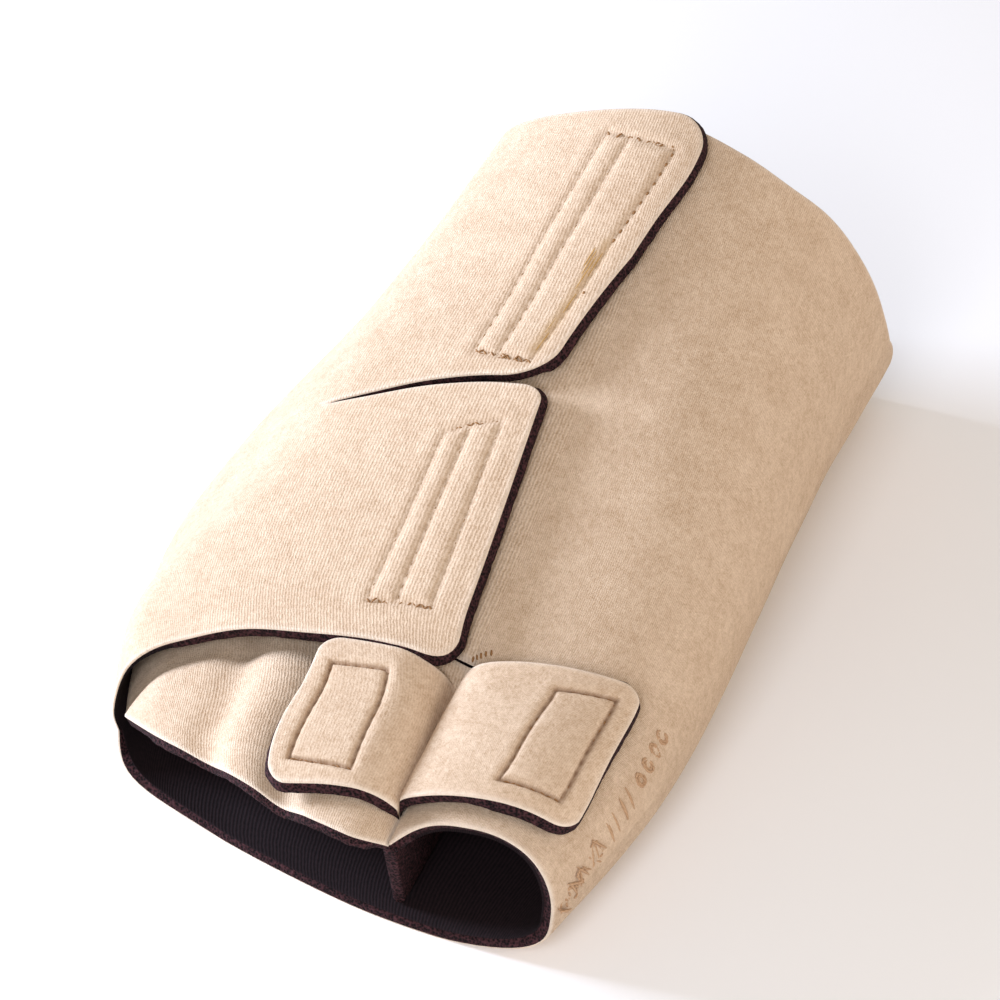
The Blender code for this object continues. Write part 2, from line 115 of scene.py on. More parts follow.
def hermite(keys: Array, values: Array, place: Array) -> Array:
    """Read smooth curves.

    Args:
        keys: Places of the curves' points, rising.
        values: Values at those places, in one or more columns.
        place: Where to read the curves; past their ends they stay level.

    Returns:
        The values there, with the columns last.
    """
    slopes = np.gradient(values, keys, axis=0)
    place = np.clip(np.asarray(place, float), keys[0], keys[-1])
    index = np.clip(np.searchsorted(keys, place, side="right") - 1, 0, len(keys) - 2)
    step = keys[index + 1] - keys[index]
    t = (place - keys[index]) / step
    if values.ndim > 1:
        step, t = step[..., None], t[..., None]
    start = (1 + 2 * t) * (1 - t) ** 2 * values[index] + t * (1 - t) ** 2 * step * slopes[index]
    end = t * t * (3 - 2 * t) * values[index + 1] + t * t * (t - 1) * step * slopes[index + 1]
    return start + end


def curve(points: Sequence[tuple[float, float]], place: Array | float) -> Array:
    """Read a smooth curve through pairs of a place and a value, in rising or falling order of place.

    Args:
        points: Pairs of a place and a value.
        place: Where to read the curve.

    Returns:
        The values there.
    """
    table = np.array(points, float)
    if table[0, 0] > table[-1, 0]:
        table = table[::-1]
    return hermite(table[:, 0], table[:, 1], place)


def quarter(share: Array, power: Array | float) -> tuple[Array, Array]:
    """Cosine-like and sine-like sides of a superellipse's quarter at a share of its angle.

    Args:
        share: Share of the quarter's angle, from 0 to 1.
        power: Power of the superellipse, 2 for a circle.

    Returns:
        The two sides, each from 0 to 1.
    """
    across = np.abs(np.cos(share * math.pi / 2))
    up = np.abs(np.sin(share * math.pi / 2))
    radius = (across**power + up**power) ** (-1 / power)
    return across * radius, up * radius


class Section(NamedTuple):
    """One cross-section: its place in lengths, its widths in half widths and its rises in heights."""

    place: float
    outer: float
    inner: float
    crest: float
    crest_rise: float
    outer_rise: float
    inner_rise: float
    outer_power: float
    inner_power: float


SECTIONS = (
    Section(-0.560, -0.40, 0.770, 0.28, 0.290, 0.12, 0.16, 2.0, 2.2),
    Section(-0.470, -0.74, 0.830, 0.28, 0.335, 0.12, 0.16, 2.0, 2.2),
    Section(-0.375, -0.88, 0.900, 0.28, 0.370, 0.13, 0.17, 1.9, 2.2),
    Section(-0.260, -0.98, 0.955, 0.28, 0.410, 0.14, 0.18, 1.9, 2.5),
    Section(-0.130, -1.03, 0.975, 0.28, 0.490, 0.16, 0.21, 1.9, 2.5),
    Section(0.000, -0.99, 0.975, 0.28, 0.595, 0.17, 0.23, 1.9, 2.4),
    Section(0.155, -0.86, 0.965, 0.28, 0.715, 0.19, 0.24, 1.9, 2.3),
    Section(0.310, -0.71, 0.960, 0.26, 0.855, 0.21, 0.26, 1.9, 2.2),
    Section(0.470, -0.56, 0.975, 0.25, 0.970, 0.24, 0.27, 2.0, 2.2),
    Section(0.575, -0.50, 0.975, 0.25, 1.030, 0.25, 0.27, 2.0, 2.2),
)


@dataclass(frozen=True)
class WrapForm:
    """The outer face of the wrap's innermost layer, with its solids' sizes and a softer web with a crease."""

    length: float = 160 * MM
    width: float = 106 * MM
    height: float = 80 * MM
    sole_flat: float = 0.6 * MM
    arch_rise: float = 5.0 * MM
    toe_ridge: float = 0.9 * MM
    sole_power: float = 3.2
    arch_middle: float = 0.10
    arch_reach: float = 0.28
    arch_start: float = 0.20
    web: float = 0.268
    big_toe_apex: float = 0.54
    lesser_apex: float = 0.12
    toe_side_rise: float = 0.15
    lesser_crest: float = 0.98
    big_toe_turn: float = 0.62
    lesser_turn: float = 1.16
    web_angle: float = math.radians(46)
    domes_start: float = -0.24
    domes_full: float = -0.40
    lesser_toes: int = 3
    crease_depth: float = 3.3 * MM
    crease_width: float = 3.2 * MM
    crease_start: float = -0.262
    crease_full: float = -0.315
    turn_step: float = 0.002
    along_step: float = 0.2 * MM

    @property
    def half_width(self) -> float:
        """Half of the width over the ball."""
        return self.width / 2

    @property
    def quarter_turn(self) -> float:
        """Length of one turn, as on a circle of the wrap's width."""
        return self.half_width * math.pi / 2

    @cached_property
    def section_table(self) -> Array:
        """The sections' table, with widths and rises in metres."""
        scale = [1.0] + [self.half_width] * 3 + [self.height] * 3 + [1.0] * 2
        return np.array(SECTIONS) * scale

    def section(self, along: Array) -> dict[str, Array]:
        """Read the cross-sections at lengths along the wrap.

        Args:
            along: Lengths along the wrap.

        Returns:
            Arrays of widths, rises and powers by the names of a section's fields.
        """
        table = self.section_table
        sizes = hermite(table[:, 0], table, along / self.length)
        return dict(zip(Section._fields, np.moveaxis(sizes, -1, 0)))

    def outline(self, turn: Array, along: Array, size: dict[str, Array]) -> tuple[Array, Array]:
        """Shape the plain form: four superellipse quarters with a flat sole and an arch.

        Args:
            turn: Turns of the places.
            along: Their lengths along the wrap.
            size: Sizes of the cross-sections there.

        Returns:
            X and Z of the places.
        """
        side = np.floor(turn).astype(int)
        share = turn - side
        side = side % 4
        middle = (size["outer"] + size["inner"]) / 2
        inner_x, inner_z = quarter(share, size["inner_power"])
        outer_x, outer_z = quarter(share, size["outer_power"])
        sole_x, sole_z = quarter(share, self.sole_power)
        x = np.choose(side, [
            size["crest"] + (size["inner"] - size["crest"]) * inner_x,
            size["crest"] - (size["crest"] - size["outer"]) * outer_z,
            middle - (middle - size["outer"]) * sole_x,
            middle + (size["inner"] - middle) * sole_z,
        ])
        hump = smooth(1 - np.abs(along / self.length - self.arch_middle) / self.arch_reach)
        inward = np.clip((share - self.arch_start) / (1 - self.arch_start), 0, 1)
        arch = self.arch_rise * hump * np.sin(math.pi * inward) ** 2
        z = np.choose(side, [
            size["inner_rise"] + (size["crest_rise"] - size["inner_rise"]) * inner_z,
            size["outer_rise"] + (size["crest_rise"] - size["outer_rise"]) * outer_x,
            np.maximum(size["outer_rise"] * (1 - sole_z) - self.sole_flat * share, 0),
            np.maximum(size["inner_rise"] * (1 - sole_x) - self.sole_flat * (1 - share), 0) + arch,
        ])
        return x, z

    def domes(self, turn: Array, size: dict[str, Array]) -> tuple[Array, Array]:
        """Shape the two domes over the toes, which meet in the web at turn 1.

        Args:
            turn: Turns of the places.
            size: Sizes of the cross-sections there.

        Returns:
            X and Z of the places.
        """
        web = self.web * self.half_width
        big_x = self.big_toe_apex * self.half_width
        lesser_x = self.lesser_apex * self.half_width
        side_rise = self.toe_side_rise * self.height
        lesser_rise = size["crest_rise"] * self.lesser_crest
        big_side, big_up = quarter(np.clip(turn / self.big_toe_turn, 0, 1), size["inner_power"])
        big_angle = np.clip((turn - self.big_toe_turn) / (1 - self.big_toe_turn), 0, 1) * self.web_angle
        lesser_angle = np.clip((self.lesser_turn - turn) / (self.lesser_turn - 1), 0, 1) * self.web_angle
        toes = np.clip((turn - self.lesser_turn) / (2 - self.lesser_turn), 0, 1)
        toes_up, toes_side = quarter(toes, size["outer_power"])
        zones = [turn < self.big_toe_turn, turn < 1, turn < self.lesser_turn]
        x = np.select(zones, [
            big_x + (size["inner"] - big_x) * big_side,
            big_x - (big_x - web) * np.sin(big_angle) / math.sin(self.web_angle),
            lesser_x + (web - lesser_x) * np.sin(lesser_angle) / math.sin(self.web_angle),
        ], lesser_x - (lesser_x - size["outer"]) * toes_side)
        waves = np.sin(math.pi * self.lesser_toes * toes) ** 2 * np.sqrt(np.sin(math.pi * toes))
        z = np.select(zones, [
            size["inner_rise"] + (size["crest_rise"] - size["inner_rise"]) * big_up,
            side_rise + (size["crest_rise"] - side_rise) * np.cos(big_angle),
            side_rise + (lesser_rise - side_rise) * np.cos(lesser_angle),
        ], size["outer_rise"] + (lesser_rise - size["outer_rise"]) * toes_up - self.toe_ridge * waves)
        return x, z

    def point(self, turn: Array, along: Array) -> Array:
        """Place points on the form: the plain outline, which turns into the toe domes towards the toes.

        Args:
            turn: Turns of the places.
            along: Their lengths along the wrap.

        Returns:
            The points, with their coordinates last.
        """
        base_layer = turn > -1
        turn = np.mod(turn, 4.0)
        size = self.section(along)
        x, z = self.outline(turn, along, size)
        dome_x, dome_z = self.domes(turn, size)
        share = smooth((self.domes_start - along / self.length) / (self.domes_start - self.domes_full))
        blend = share * (turn < 2)
        x = x + (dome_x - x) * blend
        z = z + (dome_z - z) * blend
        begun = smooth((self.crease_start - along / self.length) / (self.crease_start - self.crease_full))
        nearness = np.exp(-(((x - self.web * self.half_width) / self.crease_width) ** 2))
        z = z - self.crease_depth * begun * (1 - share) * nearness * (turn < 2) * base_layer
        return np.stack([x, along + 0 * x, z], axis=-1)

    def normal(self, turn: Array, along: Array) -> Array:
        """Find which way is outwards on the form.

        Args:
            turn: Turns of the places.
            along: Their lengths along the wrap.

        Returns:
            Unit normals, with their coordinates last.
        """
        round_wrap = self.point(turn + self.turn_step, along) - self.point(turn - self.turn_step, along)
        along_wrap = self.point(turn, along + self.along_step) - self.point(turn, along - self.along_step)
        normal = np.cross(along_wrap, round_wrap)
        return normal / np.linalg.norm(normal, axis=-1, keepdims=True)

    def surface(self, turn: Array, along: Array, lift: Array) -> Array:
        """Points that lie the given lift outside the form, along its normal."""
        turn, along, lift = np.broadcast_arrays(turn, along, lift)
        return self.point(turn, along) + self.normal(turn, along) * lift[..., None]


FORM = WrapForm()


class EdgePoint(NamedTuple):
    """A point of a cut edge: a turn round the wrap and a place along it, as a share of its length."""

    turn: float
    place: float


Edge = tuple[EdgePoint, ...]


def cut_edge(*points: tuple[float, float]) -> Edge:
    """A cut edge through pairs of a turn and a place."""
    return tuple(EdgePoint(*point) for point in points)


# A band texture's waves are 2 pi / 20 of a unit apart at a scale of 1
BAND = math.tau / 20

Socket = bpy.types.NodeSocket


class Recipe:
    """A material in the making: its node tree, and the few kinds of node that the finishes are made from."""

    def __init__(self, name: str, roughness: float, ior: float) -> None:
        """Start a material with its shader and the object's own coordinates.

        Args:
            name: The material's name.
            roughness: How matt it is.
            ior: How much it bends light.
        """
        self.material = bpy.data.materials.new(name)
        self.material.use_nodes = True
        self.tree = self.material.node_tree
        self.shader = self.tree.nodes["Principled BSDF"]
        self.set_values({"Roughness": roughness, "IOR": ior})
        self.place = add_node(self.tree, "ShaderNodeTexCoord").outputs["Object"]

    def set_values(self, values: dict[str, float | Colour]) -> None:
        """Set sockets of the shader by name."""
        for name, value in values.items():
            self.shader.inputs[name].default_value = value

    def cloth(self) -> Socket:
        """The cloth's own map: metres round the wrap and along it."""
        return add_node(self.tree, "ShaderNodeUVMap", {"uv_map": "cloth"}).outputs["UV"]

    def noise(self, size: float, detail: float, roughness: float = 0.5) -> Socket:
        """Noise with lumps of about the given size."""
        return add_node(self.tree, "ShaderNodeTexNoise", None, {
            "Vector": self.place, "Scale": 1 / size, "Detail": detail, "Roughness": roughness}).outputs["Fac"]

    def waves(
        self, bands: str, vector: Socket, width: float, distortion: float, detail: float = 2.0,
        detail_scale: float = 1.0,
    ) -> Socket:
        """Add bands across X, Y or the diagonal of a vector.

        Args:
            bands: The bands' direction.
            vector: What they are laid over.
            width: Width of a band.
            distortion: How much they waver.
            detail: How fine the wavering is.
            detail_scale: How dense it is.

        Returns:
            The bands' strength.
        """
        return add_node(self.tree, "ShaderNodeTexWave", {"bands_direction": bands}, {
            "Vector": vector, "Scale": BAND / width, "Distortion": distortion, "Detail": detail,
            "Detail Scale": detail_scale}).outputs["Fac"]

    def mix(self, factor: Socket | float, first: Socket, second: Socket) -> Socket:
        """Mix two values."""
        return add_node(self.tree, "ShaderNodeMix", {"data_type": "FLOAT"}, {
            "Factor": factor, "A": first, "B": second}).outputs["Result"]

    def tint(self, factor: Socket, first: Socket | str, second: str) -> Socket:
        """Mix two colours.

        Args:
            factor: Share of the second one.
            first: The first, as a socket or a hex code.
            second: The second, as a hex code.

        Returns:
            The mixed colour.
        """
        start = linear(first) if isinstance(first, str) else first
        return add_node(self.tree, "ShaderNodeMix", {"data_type": "RGBA"}, {
            "Factor": factor, "A": start, "B": linear(second)}).outputs["Result"]

    def stretch(
        self, value: Socket, low: float, high: float, bottom: float = 0.0, top: float = 1.0,
    ) -> Socket:
        """Stretch the range from low to high over that from bottom to top, and cut off the rest."""
        ranges = {"From Min": low, "From Max": high, "To Min": bottom, "To Max": top}
        return add_node(self.tree, "ShaderNodeMapRange", None, {"Value": value, **ranges}).outputs["Result"]

    def bump(self, height: Socket, distance: float, strength: float = 1.0) -> None:
        """Let a height roughen the surface.

        Args:
            height: The height, from 0 to 1.
            distance: How high 1 is.
            strength: Share of the effect.
        """
        bump = add_node(self.tree, "ShaderNodeBump", None, {
            "Height": height, "Strength": strength, "Distance": distance})
        self.tree.links.new(bump.outputs["Normal"], self.shader.inputs["Normal"])

    def done(self, colour: Socket) -> bpy.types.Material:
        """Give the material its colour and return it."""
        self.tree.links.new(colour, self.shader.inputs["Base Color"])
        return self.material


@dataclass(frozen=True)
class Finish:
    """What every material here starts from: its name, how matt it is and how much it bends light."""

    name: str
    roughness: float
    ior: float = 1.5

    def recipe(self) -> Recipe:
        """Start a material of this finish."""
        return Recipe(self.name, self.roughness, self.ior)


@dataclass(frozen=True)
class LoopKnit(Finish):
    """Brushed polyamide loop knit: the eye gets a soft, speckled nap over faint wales along the wrap."""

    face: str = "#E4CCB2"
    # Darker colour of the nap's low places: partly the knit's own tone, partly painted shade in the recesses
    tone_and_recess_shade: str = "#B09070"
    # Painted shade in the seams' grooves, partly the brown of the thread sunk in them
    groove_shade_and_thread: str = "#6B4423"
    stain: str = "#C79C55"
    # Lighter colour along cut edges: partly the knit's pale fuzz, partly painted highlight on the rounded
    # edge
    pale_fuzz_and_highlight: str = "#F7EADA"
    sheen: str = "#FFEBD2"
    wale: float = 0.52 * MM
    course: float = 0.48 * MM
    nap: float = 0.34 * MM
    speckle: float = 1.1 * MM
    mottle: float = 6.0 * MM
    mottle_tone: float = 0.12
    course_share: float = 0.22
    speckle_share: float = 0.50
    wale_share: float = 0.20
    bump: float = 0.33 * MM

    def material(self) -> bpy.types.Material:
        """Build it: wales and courses from the cloth's own map, nap and mottling from noise.

        Returns:
            The material.
        """
        recipe = self.recipe()
        cloth = recipe.cloth()
        wales = recipe.waves("X", cloth, self.wale, 3.6, 4.0, 2.2)
        courses = recipe.waves("Y", cloth, self.course, 6.0, 3.0, 1.6)
        loops = recipe.mix(self.course_share, wales, courses)
        nap = recipe.noise(self.nap, 3.0, 0.65)
        pile = recipe.mix(self.speckle_share, nap, recipe.noise(self.speckle, 3.0, 0.7))
        height = recipe.mix(self.wale_share, pile, loops)
        mottle = recipe.noise(self.mottle, 4.0, 0.62)
        share = add_node(recipe.tree, "ShaderNodeMath", {"operation": "ADD", "use_clamp": True}, {
            0: recipe.stretch(height, 0.26, 0.66),
            1: recipe.stretch(mottle, 0.3, 0.7, -self.mottle_tone, self.mottle_tone)})
        # Colour marks per vertex: red is painted groove shade, green a real stain, blue the pale edge fuzz
        # with painted highlight
        painted_shade_stain_highlight = add_node(recipe.tree, "ShaderNodeAttribute", {"attribute_name": "painted_shade_stain_highlight"}).outputs["Color"]
        parts = add_node(recipe.tree, "ShaderNodeSeparateColor", None, {"Color": painted_shade_stain_highlight}).outputs
        # Low places of the nap take the darker colour, partly as painted recess shade
        colour = recipe.tint(share.outputs["Value"], self.tone_and_recess_shade, self.face)
        for channel, tint in (("Red", self.groove_shade_and_thread), ("Green", self.stain), ("Blue", self.pale_fuzz_and_highlight)):
            colour = recipe.tint(parts[channel], colour, tint)
        recipe.bump(height, self.bump)
        recipe.set_values({
            "Specular IOR Level": 0.2, "Sheen Weight": 0.18, "Sheen Roughness": 0.5,
            "Sheen Tint": linear(self.sheen)})
        return recipe.done(colour)


@dataclass(frozen=True)
class CutFoam(Finish):
    """Open-cell polyurethane foam, cut with a die: the eye gets a nearly black plum line with torn grains."""

    dark: str = "#0A0506"
    # Paler tint of the raised grains: partly the torn cells' own tone, partly painted highlight
    pale: str = "#4A2C2F"
    grain: float = 0.45 * MM
    lump: float = 0.75 * MM
    bump: float = 0.30 * MM

    def material(self) -> bpy.types.Material:
        """Build it from cells and a little noise.

        Returns:
            The material.
        """
        recipe = self.recipe()
        cells = add_node(recipe.tree, "ShaderNodeTexVoronoi", None, {
            "Vector": recipe.place, "Scale": 1 / self.grain})
        height = recipe.mix(0.5, cells.outputs["Distance"], recipe.noise(self.lump, 4.0, 0.7))
        recipe.bump(height, self.bump)
        recipe.set_values({"Specular IOR Level": 0.15})
        # Raised grains turn paler, partly as painted highlight
        return recipe.done(recipe.tint(recipe.stretch(height, 0.38, 0.70), self.dark, self.pale))


@dataclass(frozen=True)
class LiningKnit(Finish):
    """Dark polyester warp-knit lining: the eye gets soft ribs that sink into the wrap's hollow."""

    dark: str = "#0E0709"
    pale: str = "#281A1D"
    rib: float = 0.8 * MM
    bump: float = 0.12 * MM

    def material(self) -> bpy.types.Material:
        """Build it: ribs from the cloth's own map, broken up by noise.

        Returns:
            The material.
        """
        recipe = self.recipe()
        ribs = recipe.waves("X", recipe.cloth(), self.rib, 2.4)
        height = recipe.mix(0.65, ribs, recipe.noise(self.rib, 4.0, 0.7))
        recipe.bump(height, self.bump, 0.8)
        recipe.set_values({"Specular IOR Level": 0.2})
        return recipe.done(recipe.tint(recipe.stretch(height, 0.25, 0.75), self.dark, self.pale))


@dataclass(frozen=True)
class SpunThread(Finish):
    """Spun polyester sewing thread: the eye gets two twisted plies in a slightly uneven dye."""

    light: str = "#B08350"
    dark: str = "#6A431F"
    ply: float = 0.35 * MM
    dye: float = 1.4 * MM
    bump: float = 0.05 * MM

    def material(self) -> bpy.types.Material:
        """Build it from slanting bands and noise.

        Returns:
            The material.
        """
        recipe = self.recipe()
        plies = recipe.waves("DIAGONAL", recipe.place, self.ply, 1.0)
        recipe.bump(plies, self.bump, 0.6)
        share = recipe.mix(0.7, plies, recipe.noise(self.dye, 3.0))
        return recipe.done(recipe.tint(share, self.dark, self.light))


@dataclass(frozen=True)
class HookTapeFinish(Finish):
    """Moulded polyamide hook tape: the eye gets a tan woven ground with a dull shine on its stiff hooks."""

    light: str = "#B59C78"
    dark: str = "#8E7450"
    weave: float = 0.6 * MM
    bump: float = 0.08 * MM

    def material(self) -> bpy.types.Material:
        """Build it from a small checked weave.

        Returns:
            The material.
        """
        recipe = self.recipe()
        weave = add_node(recipe.tree, "ShaderNodeTexChecker", None, {
            "Vector": recipe.place, "Scale": 1 / self.weave})
        height = recipe.mix(0.5, weave.outputs["Fac"], recipe.noise(self.weave, 3.0))
        recipe.bump(height, self.bump, 0.6)
        return recipe.done(recipe.tint(height, self.dark, self.light))


@dataclass(frozen=True)
class StudioPaper(Finish):
    """Matt white background paper: the eye gets a plain, bright floor."""

    light: str = "#FFFFFF"
    shade: str = "#FBFBFB"
    tooth: float = 120 * MM

    def material(self) -> bpy.types.Material:
        """Build the material: a paper with a faint unevenness."""
        recipe = self.recipe()
        return recipe.done(recipe.tint(recipe.noise(self.tooth, 2.0), self.shade, self.light))


class Finishes:
    """One material of each finish, made once and shared by the pieces."""

    def __init__(self) -> None:
        """Make the materials."""
        self.knit = LoopKnit("brushed_loop_knit", 0.95).material()
        self.napped_knit = LoopKnit("napped_loop_knit", 0.95, wale_share=0.10, bump=0.28 * MM).material()
        self.foam = CutFoam("die_cut_foam", 0.9).material()
        self.lining = LiningKnit("dark_lining_knit", 0.9).material()
        self.brown_thread = SpunThread("brown_spun_thread", 0.7).material()
        self.pale_thread = SpunThread("beige_spun_thread", 0.75, light="#B8946A", dark="#7E5C3A").material()
        self.tan_thread = SpunThread("tan_spun_thread", 0.8, light="#C9A582", dark="#9F7A58").material()
        self.gold_thread = SpunThread("golden_spun_thread", 0.65, light="#D2A95E", dark="#A67A34").material()
        self.hook = HookTapeFinish("moulded_hook_tape", 0.55, 1.53).material()
        self.floor = StudioPaper("studio_paper", 0.9).material()


Places = Sequence[tuple[float, float]]


@dataclass
class SurfacePath:
    """A path over a cut: straight between its corners in turn and length, read by its real length."""

    locate: Locate
    corners: Places
    spacing: float = 0.25 * MM
    turns: Array = field(init=False)
    alongs: Array = field(init=False)
    lengths: Array = field(init=False)
    points: Array = field(init=False)

    def __post_init__(self) -> None:
        """Sample the path finely enough for its real length."""
        corners = np.array(self.corners, float)
        ends = self.locate(corners[:, 0], corners[:, 1], np.zeros(len(corners)))
        spans = np.linalg.norm(np.diff(ends, axis=0), axis=1)
        counts = np.maximum(np.ceil(spans / self.spacing), 1).astype(int)
        keys = np.concatenate([i + np.arange(n) / n for i, n in enumerate(counts)] + [[len(counts)]])
        self.turns = np.interp(keys, np.arange(len(corners)), corners[:, 0])
        self.alongs = np.interp(keys, np.arange(len(corners)), corners[:, 1])
        self.points = self.locate(self.turns, self.alongs, np.zeros(len(keys)))
        steps = np.linalg.norm(np.diff(self.points, axis=0), axis=1)
        self.lengths = np.concatenate([[0], np.cumsum(steps)])

    @property
    def length(self) -> float:
        """The path's whole length."""
        return float(self.lengths[-1])

    def at(self, length: Array) -> tuple[Array, Array]:
        """Turn and length along the wrap at lengths along the path."""
        return np.interp(length, self.lengths, self.turns), np.interp(length, self.lengths, self.alongs)


class Trace:
    """Points of one or more paths, to find how near a place is to them."""

    def __init__(self, points: Array, runs: Array) -> None:
        """Keep the points for quick searching.

        Args:
            points: The points.
            runs: How far along their paths they lie.
        """
        self.runs = runs
        self.tree = kdtree.KDTree(len(points))
        for index, point in enumerate(points):
            self.tree.insert(point, index)
        self.tree.balance()

    @classmethod
    def of_paths(cls, paths: Sequence[SurfacePath]) -> "Trace":
        """Trace of the points of some paths."""
        points = np.vstack([path.points for path in paths])
        return cls(points, np.concatenate([path.lengths for path in paths]))

    def nearest(self, points: Iterable[Sequence[float]]) -> tuple[Array, Array]:
        """Distances of points from the paths, and how far along these the nearest places lie."""
        found = [self.tree.find(point) for point in points]
        return np.array([hit[2] for hit in found]), self.runs[[hit[1] for hit in found]]


def inside(polygon: Places, turn: Array, along: Array) -> Array:
    """Tell which places lie inside a polygon of turns and lengths along the wrap.

    Args:
        polygon: Its corners.
        turn: Turns of the places.
        along: Their lengths along the wrap.

    Returns:
        True for each place inside.
    """
    result = np.zeros(turn.shape, bool)
    previous = polygon[-1]
    for corner in polygon:
        (u0, v0), (u1, v1) = previous, corner
        crosses = (v0 > along) != (v1 > along)
        reach = (u1 - u0) * (along - v0) / ((v1 - v0) or TINY) + u0
        result ^= crosses & (turn < reach)
        previous = corner
    return result


@dataclass
class Quilting:
    """Relief that a sewn hook pad leaves in a face: grooves along its seams and raised fields between."""

    locate: Locate
    outline: Places
    lines: Sequence[Places]
    groove: float = 0.34 * MM
    groove_width: float = 0.50 * MM
    field_rise: float = 0.34 * MM
    field_run: float = 2.0 * MM
    border_share: float = 0.35
    pitch: float = 2.4 * MM
    pucker: float = 0.2
    # Strength of the painted shade in the grooves
    shade: float = 0.16
    stain: Places | None = None
    stain_width: float = 1.1 * MM
    trace: Trace = field(init=False)
    stain_trace: Trace | None = field(init=False, default=None)

    def __post_init__(self) -> None:
        """Trace the seams and the stain."""
        self.trace = Trace.of_paths([SurfacePath(self.locate, line) for line in self.lines])
        if self.stain:
            self.stain_trace = Trace.of_paths([SurfacePath(self.locate, self.stain)])

    def relief(self, turn: Array, along: Array) -> tuple[Array, Array, Array]:
        """Read the relief.

        Args:
            turn: Turns of the places.
            along: Lengths of the places.

        Returns:
            Heights, how much painted shade a groove puts on each place and how stained it is, the last two
            from 0 to 1.
        """
        points = self.locate(turn, along, np.zeros(turn.shape))
        distance, run = self.trace.nearest(points)
        near = smooth(distance / self.field_run)
        within = self.field_rise * near
        beside = self.field_rise * self.border_share * near * smooth(2 - distance / self.field_run)
        pull = 1 - self.pucker + self.pucker * np.cos(math.tau * run / self.pitch)
        groove = np.exp(-((distance / self.groove_width) ** 2)) * pull
        height = np.where(inside(self.outline, turn, along), within, beside) - self.groove * groove
        stained = np.zeros(turn.shape)
        if self.stain_trace:
            stained = np.exp(-((self.stain_trace.nearest(points)[0] / self.stain_width) ** 2))
        # The grooves' darkening is painted shade
        return height, self.shade * groove, stained


class StitchKind(Enum):
    """Ways in which a seam's thread lies."""

    RUNNING = "running"
    ZIGZAG = "zigzag"
    LADDER = "ladder"
    LOOPS = "loops"


@dataclass
class Seam:
    """A line of stitches on a cut's face, with its sizes in mm."""

    corners: Places
    kind: StitchKind = StitchKind.RUNNING
    pitch: float = 2.4
    width: float = 0.0
    radius: float = 0.16
    fill: float = 0.75
    sink: float = 0.06
    wobble: float = 0.0
    loop_beads: int = 9
    ladder_lean: float = 0.12

    def spans(self, length: float) -> Array:
        """Share out the stitches over a path.

        Args:
            length: The path's length.

        Returns:
            A row for each stitch: a length and a side for its start, and again for its end.
        """
        count = max(round(length / (self.pitch * MM)), 1)
        edges = np.linspace(0, length, count + 1)
        start, end = edges[:-1], edges[1:]
        middle, none = (start + end) / 2, np.zeros(count)
        half = self.width * MM / 2
        if self.kind is StitchKind.RUNNING:
            reach = (end - start) * self.fill / 2
            rows = [middle - reach, none, middle + reach, none]
        elif self.kind is StitchKind.ZIGZAG:
            side = np.where(np.arange(count) % 2, -half, half)
            rows = [start, side, end, -side]
        elif self.kind is StitchKind.LADDER:
            lean = self.ladder_lean * self.pitch * MM
            rows = [middle - lean, none - half, middle + lean, none + half]
        else:
            angle = np.linspace(0, math.tau, self.loop_beads + 1)
            run = middle[:, None] + self.fill / 2 * self.pitch * MM * np.cos(angle)
            side = half * np.sin(angle) + 0 * middle[:, None]
            rows = [run[:, :-1].ravel(), side[:, :-1].ravel(), run[:, 1:].ravel(), side[:, 1:].ravel()]
        return np.stack(rows, axis=1)


# How far apart in the noise the three sides of a waver are read
WAVER_STEP = Vector((7.3, 3.1, 0))


def waver(point: Vector, size: float) -> Vector:
    """Smooth uneven shift at a point, the same in each run."""
    return Vector([noise.noise(point / size + WAVER_STEP * axis) for axis in range(3)])


